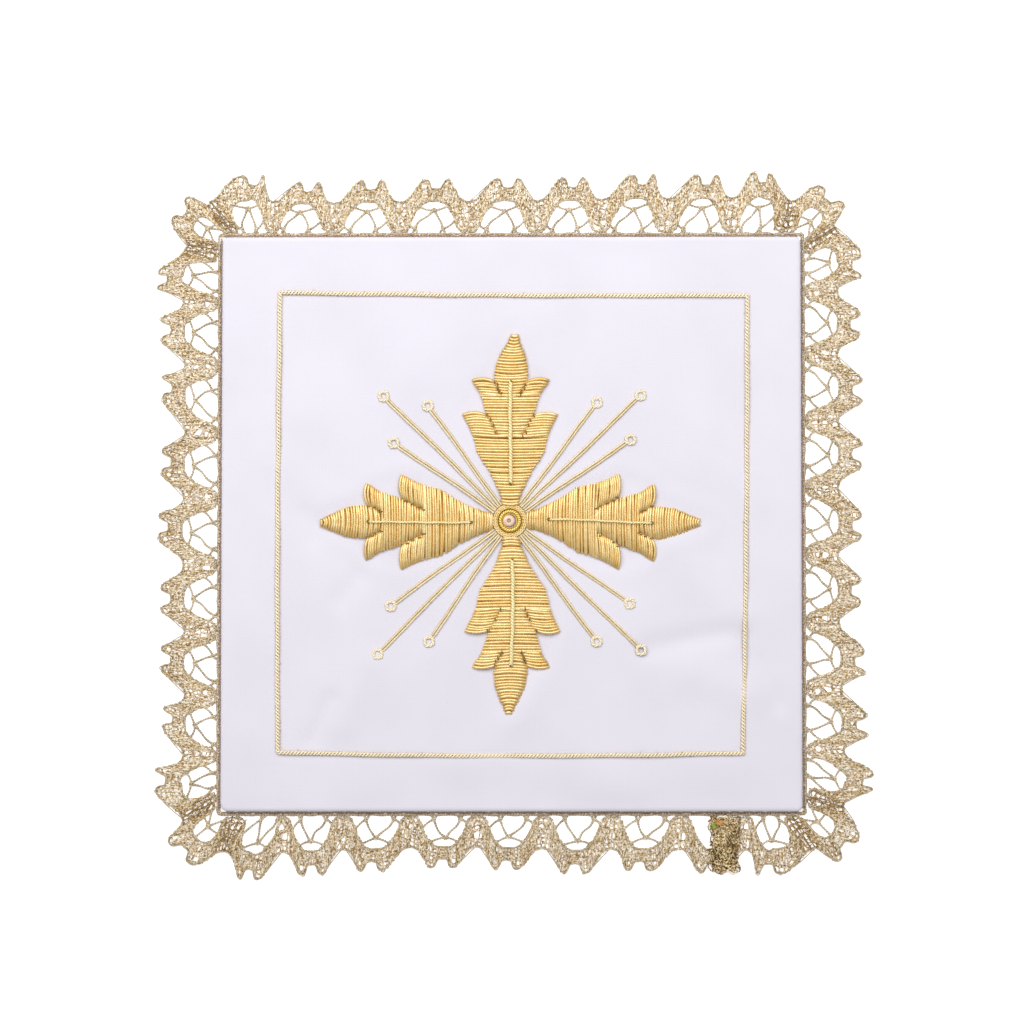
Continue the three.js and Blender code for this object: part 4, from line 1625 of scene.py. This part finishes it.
def padding_piece(arm, rows, material):
    """The felt under a part of an arm: a low cushion just inside its stitches."""
    count, columns = 24, 9
    outs, halves = (np.array(column) for column in zip(*rows))
    along = np.linspace(outs[0] + 0.3, outs[-1] - 0.3, count)
    half = np.maximum(np.interp(along, outs, halves) - 0.5, 0.15)
    across = np.linspace(-1, 1, columns)
    flat = arm_place(arm, [(out, wide * a) for out, wide in zip(along, half) for a in across])
    ends = np.minimum(np.linspace(0, 1, count), np.linspace(1, 0, count)) * 12
    dome = np.outer(np.clip(ends, 0, 1), (1 - across**4) * 0.72).ravel()
    top = raise_to(flat, CLOTH_TOP + 0.12 + dome)
    bottom = raise_to(flat, CLOTH_TOP - 0.05)
    cells, loop = grid_faces(count, columns)
    below = len(flat)
    faces = [cells, cells[:, ::-1] + below, wall_faces(loop, loop + below)]
    return smooth_mesh("padding", np.concatenate([top, bottom]), np.concatenate(faces), material)


class PALL_OT_leaves(bpy.types.Operator):
    """Makes the four leaf arms: felt padding under stitches of gold purl."""

    bl_idname = "pall.leaves"
    bl_label = "Leaf arms"

    def execute(self, context):
        sizes, colours = context.scene.pall_sizes, context.scene.pall_colours
        purl = wire_material("smooth_gilt_purl", colours.purl_deep, colours.purl_bright)
        # The ends of wire are coloured brown as painted shade in the seams.
        dark = wire_material("sunk_wire_end", linear("8A6628"), linear("B8924A"))
        felt = felt_material(colours)
        tree, plain = satin_tree(), thread_tree()
        chance = np.random.default_rng(7)
        for arm in ARMS:
            stitches = Strands("rise", "bow")
            body_stitches(stitches, arm, INNER_BODY, sizes, chance, bow=0.22)
            lobe_stitches(stitches, arm, INNER_LOBE, sizes, chance)
            body_stitches(stitches, arm, MIDDLE_BODY, sizes, chance, bow=0.15)
            lobe_stitches(stitches, arm, MIDDLE_LOBE, sizes, chance)
            body_stitches(stitches, arm, BUD_BODY, sizes, chance, bow=0.38)
            name = f"{arm['name']}_leaves"
            parts = [grow(name, stitches, tree, purl, sides=8, points=13)]
            ends = Strands()
            for lobe in (INNER_LOBE, MIDDLE_LOBE):
                seam_ends(ends, arm, lobe, chance)
            parts.append(grow(name + "_ends", ends, plain, dark, sides=5))
            for rows in (INNER_BODY, MIDDLE_BODY, BUD_BODY):
                parts.append(padding_piece(arm, rows, felt))
            piece = join(name, *parts)
            nodes = [f"{arm['name']}_{part}" for part in ("inner_leaf", "middle_leaf", "bud")]
            settle(piece, "gold_purl", *nodes)
        return {"FINISHED"}


class PALL_OT_midribs(bpy.types.Operator):
    """Makes the four midribs, twisted cords couched along the arms."""

    bl_idname = "pall.midribs"
    bl_label = "Midribs"

    def execute(self, context):
        pale = wire_material("pale_gilt_midrib", linear("F2D888"), linear("FFF8C8"))
        # The midribs' knotted ends are coloured dark as painted shade between the stitches.
        dark = wire_material("knotted_end", linear("4E4420"), linear("A08A44"))
        thread, cord = thread_tree(), cord_tree()
        chance = np.random.default_rng(19)
        outs = np.linspace(*MIDRIB_RUN, 24)
        sunk = 0.5 * (1 - np.clip(np.minimum(outs - outs[0], outs[-1] - outs) / 1.4, 0, 1))
        for arm in ARMS:
            path = arm_place(arm, np.column_stack([outs, 0.06 * np.sin(outs * 0.9)]))
            level = LEAF_TOP + 0.42 * arm["rib"] - 0.02
            line = Strands()
            line.lay(raise_to(path, level - sunk), thick=1.0, tone=0.55)
            ends = Strands()
            for spot in (path[0], path[-1]):
                knot(ends, spot, 0.34, KNOT_RADIUS * MM, chance, LEAF_TOP + 0.05)
            name = f"{arm['name']}_rib"
            plies = np.array(MIDRIB_TWIST) * arm["rib"]
            parts = [
                twist(name, line, cord, pale, plies, 1.8, 0.2),
                grow(name + "_ends", ends, thread, dark, sides=5),
            ]
            settle(join(name, *parts), "pale_gold_cord", f"{arm['name']}_midrib")
        return {"FINISHED"}


class PALL_OT_rays(bpy.types.Operator):
    """Makes the rays, each of two gold threads side by side, and the ring at its end."""

    bl_idname = "pall.rays"
    bl_label = "Rays"

    def execute(self, context):
        sizes = context.scene.pall_sizes
        gilt = wire_material("couched_gilt_thread", linear("E2C890"), linear("FBF1D6"))
        pale = wire_material("pale_gilt_ring", linear("F4E0B4"), linear("FFFAE6"))
        thread, cord = thread_tree(), cord_tree()
        chance = np.random.default_rng(29)
        for quarter, (middle, names) in RAYS.items():
            for k, name in enumerate(names):
                label = f"{quarter}_{name}"
                angle = math.radians(middle + (k - 1) * RAY_SPREAD)
                low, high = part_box(f"ring_{label}")
                ring_at = np.array([(low.x + high.x) / 2, (low.y + high.y) / 2]) / MM
                threads = self.ray(angle, ring_at, k, sizes, chance)
                bar = grow(f"threads_{label}", threads, thread, gilt, sides=7)
                settle(bar, "gold_purl", f"ray_{label}")
                loop = Strands()
                wobble = RING_RADIUS + 0.08 * np.sin(np.arange(28) * 0.9 + k)
                ring = circle((0, 0), 1.0, 0.0, 28, angle)[:, :2] * wobble[:, None] + ring_at
                level = CLOTH_TOP + RING_LEVEL
                loop.lay(raise_to(ring, level), closed=True, thick=1.0, tone=0.5)
                hoop = twist(f"loop_{label}", loop, cord, pale, RING_TWIST, RING_ROUND / 4, 0.2)
                settle(hoop, "pale_gold_cord", f"ring_{label}")
        return {"FINISHED"}

    @staticmethod
    def ray(angle, ring_at, k, sizes, chance):
        """The two threads of a ray, from the roundel to its ring, with their couching."""
        start = CROSS_MIDDLE + RAY_START * np.array([math.cos(angle), math.sin(angle)])
        way = (ring_at - start) / np.linalg.norm(ring_at - start)
        end = ring_at - way * RAY_SHORT
        side = np.array([-way[1], way[0]])
        run = np.linspace(0, 1, 26)
        path = start + (end - start) * run[:, None]
        path = path + side * (0.12 * np.sin(run * 7 + k))[:, None]
        threads = Strands()
        level = CLOTH_TOP + RAY_LEVEL - 0.25 * (run > 0.985)
        # One thread of a ray is laid a little lighter in tone and the other a little darker:
        # painted light and shade, as if lit from one side.
        for hand in (-1, 1):
            wander = 0.33 + 0.03 * np.sin(run * 40 + hand)
            line = path + side * (hand * wander)[:, None]
            threads.lay(raise_to(line, level), thick=sizes.ray_thread / 2, tone=0.5 + hand * 0.12)
        long = np.linalg.norm(end - start)
        for at in np.arange(1.5, long - 0.6, sizes.couching / MM):
            here = start + way * (at + chance.normal(0, 0.15))
            couch(threads, here, side, way, CLOTH_TOP, RAY_COUCHING)
        return threads


class PALL_OT_roundel(bpy.types.Operator):
    """Makes the roundel: rings of thread and purl round a pearl bead."""

    bl_idname = "pall.roundel"
    bl_label = "Roundel"

    def execute(self, context):
        cord = cord_tree()
        pale = wire_material("pale_gilt_roundel", linear("DCB468"), linear("FFEAB4"))
        rich = wire_material("bright_check_purl", linear("C8942C"), linear("F6D878"))
        pieces = (
            ("roundel_pale_rings", PALE_RINGS, pale, "pale_gold_cord", "roundel_outer_ring"),
            ("roundel_gold_rings", GOLD_RINGS, rich, "gold_purl", "roundel_twist_ring"),
        )
        for name, rings, material, slot, node in pieces:
            parts = []
            for label, radius, level, turns, plies in rings:
                strands = Strands()
                around = circle(CROSS_MIDDLE, radius, CLOTH_TOP + level, 64)
                strands.lay(around, closed=True, thick=1.0, tone=0.5)
                pitch = 2 * math.pi * radius / turns
                parts.append(twist(label, strands, cord, material, plies, pitch, 0.17))
            settle(join(name, *parts), slot, node)
        bead = self.bead(pearl_material(context.scene.pall_colours))
        settle(bead, "pearl_bead", "centre_bead")
        stitch = Strands()
        around = circle(BEAD_MIDDLE, 0.22, CLOTH_TOP + 1.36, 8)
        stitch.lay(around, closed=True, thick=0.16 * MM, tone=0.5)
        for turn in (0.3, 1.9):
            way = np.array([math.cos(turn), math.sin(turn)]) * 0.34
            flat = [BEAD_MIDDLE - way, BEAD_MIDDLE, BEAD_MIDDLE + way]
            stitch.lay(raise_to(flat, CLOTH_TOP + 1.42), thick=0.15 * MM, tone=0.5)
        fawn = wire_material("bead_stitch", linear("B89668"), linear("F0D8B0"))
        settle(grow("bead_stitch", stitch, thread_tree(), fawn, sides=6), "pale_gold_cord")
        return {"FINISHED"}

    @staticmethod
    def bead(material, sides=40):
        """The bead: its closed outline turned about its middle."""
        count = len(BEAD_OUTLINE)
        points = np.concatenate(
            [
                circle(BEAD_MIDDLE, radius, CLOTH_TOP + level, sides)
                for radius, level in BEAD_OUTLINE
            ]
        )
        number = np.arange(count * sides).reshape(count, sides)
        loops = zip(number, np.roll(number, -1, axis=0))
        faces = np.concatenate([wall_faces(here, there) for here, there in loops])
        bead = smooth_mesh("pearl_bead", points, faces, material)
        subdivided = bead.modifiers.new("round", "SUBSURF")
        subdivided.levels = 1
        subdivided.render_levels = 1
        return bead


OPERATORS = (
    PALL_OT_stage,
    PALL_OT_cloth,
    PALL_OT_lace,
    PALL_OT_join,
    PALL_OT_whipping,
    PALL_OT_border,
    PALL_OT_leaves,
    PALL_OT_midribs,
    PALL_OT_rays,
    PALL_OT_roundel,
)


class PALL_PT_panel(bpy.types.Panel):
    """Lists the pall's operators, sizes and colours."""

    bl_idname = "PALL_PT_panel"
    bl_label = "Chalice pall"
    bl_space_type = "VIEW_3D"
    bl_region_type = "UI"
    bl_category = "Pall"

    def draw(self, context):
        for operator in OPERATORS:
            self.layout.operator(operator.bl_idname)
        for group in (context.scene.pall_sizes, context.scene.pall_colours):
            for name in group.__annotations__:
                self.layout.prop(group, name)


CLASSES = (PallSizes, PallColours, *OPERATORS, PALL_PT_panel)


def register():
    """Registers the classes and the scene's properties."""
    for made in CLASSES:
        bpy.utils.register_class(made)
    bpy.types.Scene.pall_sizes = bpy.props.PointerProperty(type=PallSizes)
    bpy.types.Scene.pall_colours = bpy.props.PointerProperty(type=PallColours)


def unregister():
    """Takes away what register added."""
    del bpy.types.Scene.pall_colours
    del bpy.types.Scene.pall_sizes
    for made in reversed(CLASSES):
        bpy.utils.unregister_class(made)


def main():
    """Makes every piece in order."""
    register()
    for operator in OPERATORS:
        group, name = operator.bl_idname.split(".")
        getattr(getattr(bpy.ops, group), name)()


if __name__ == "__main__":
    main()
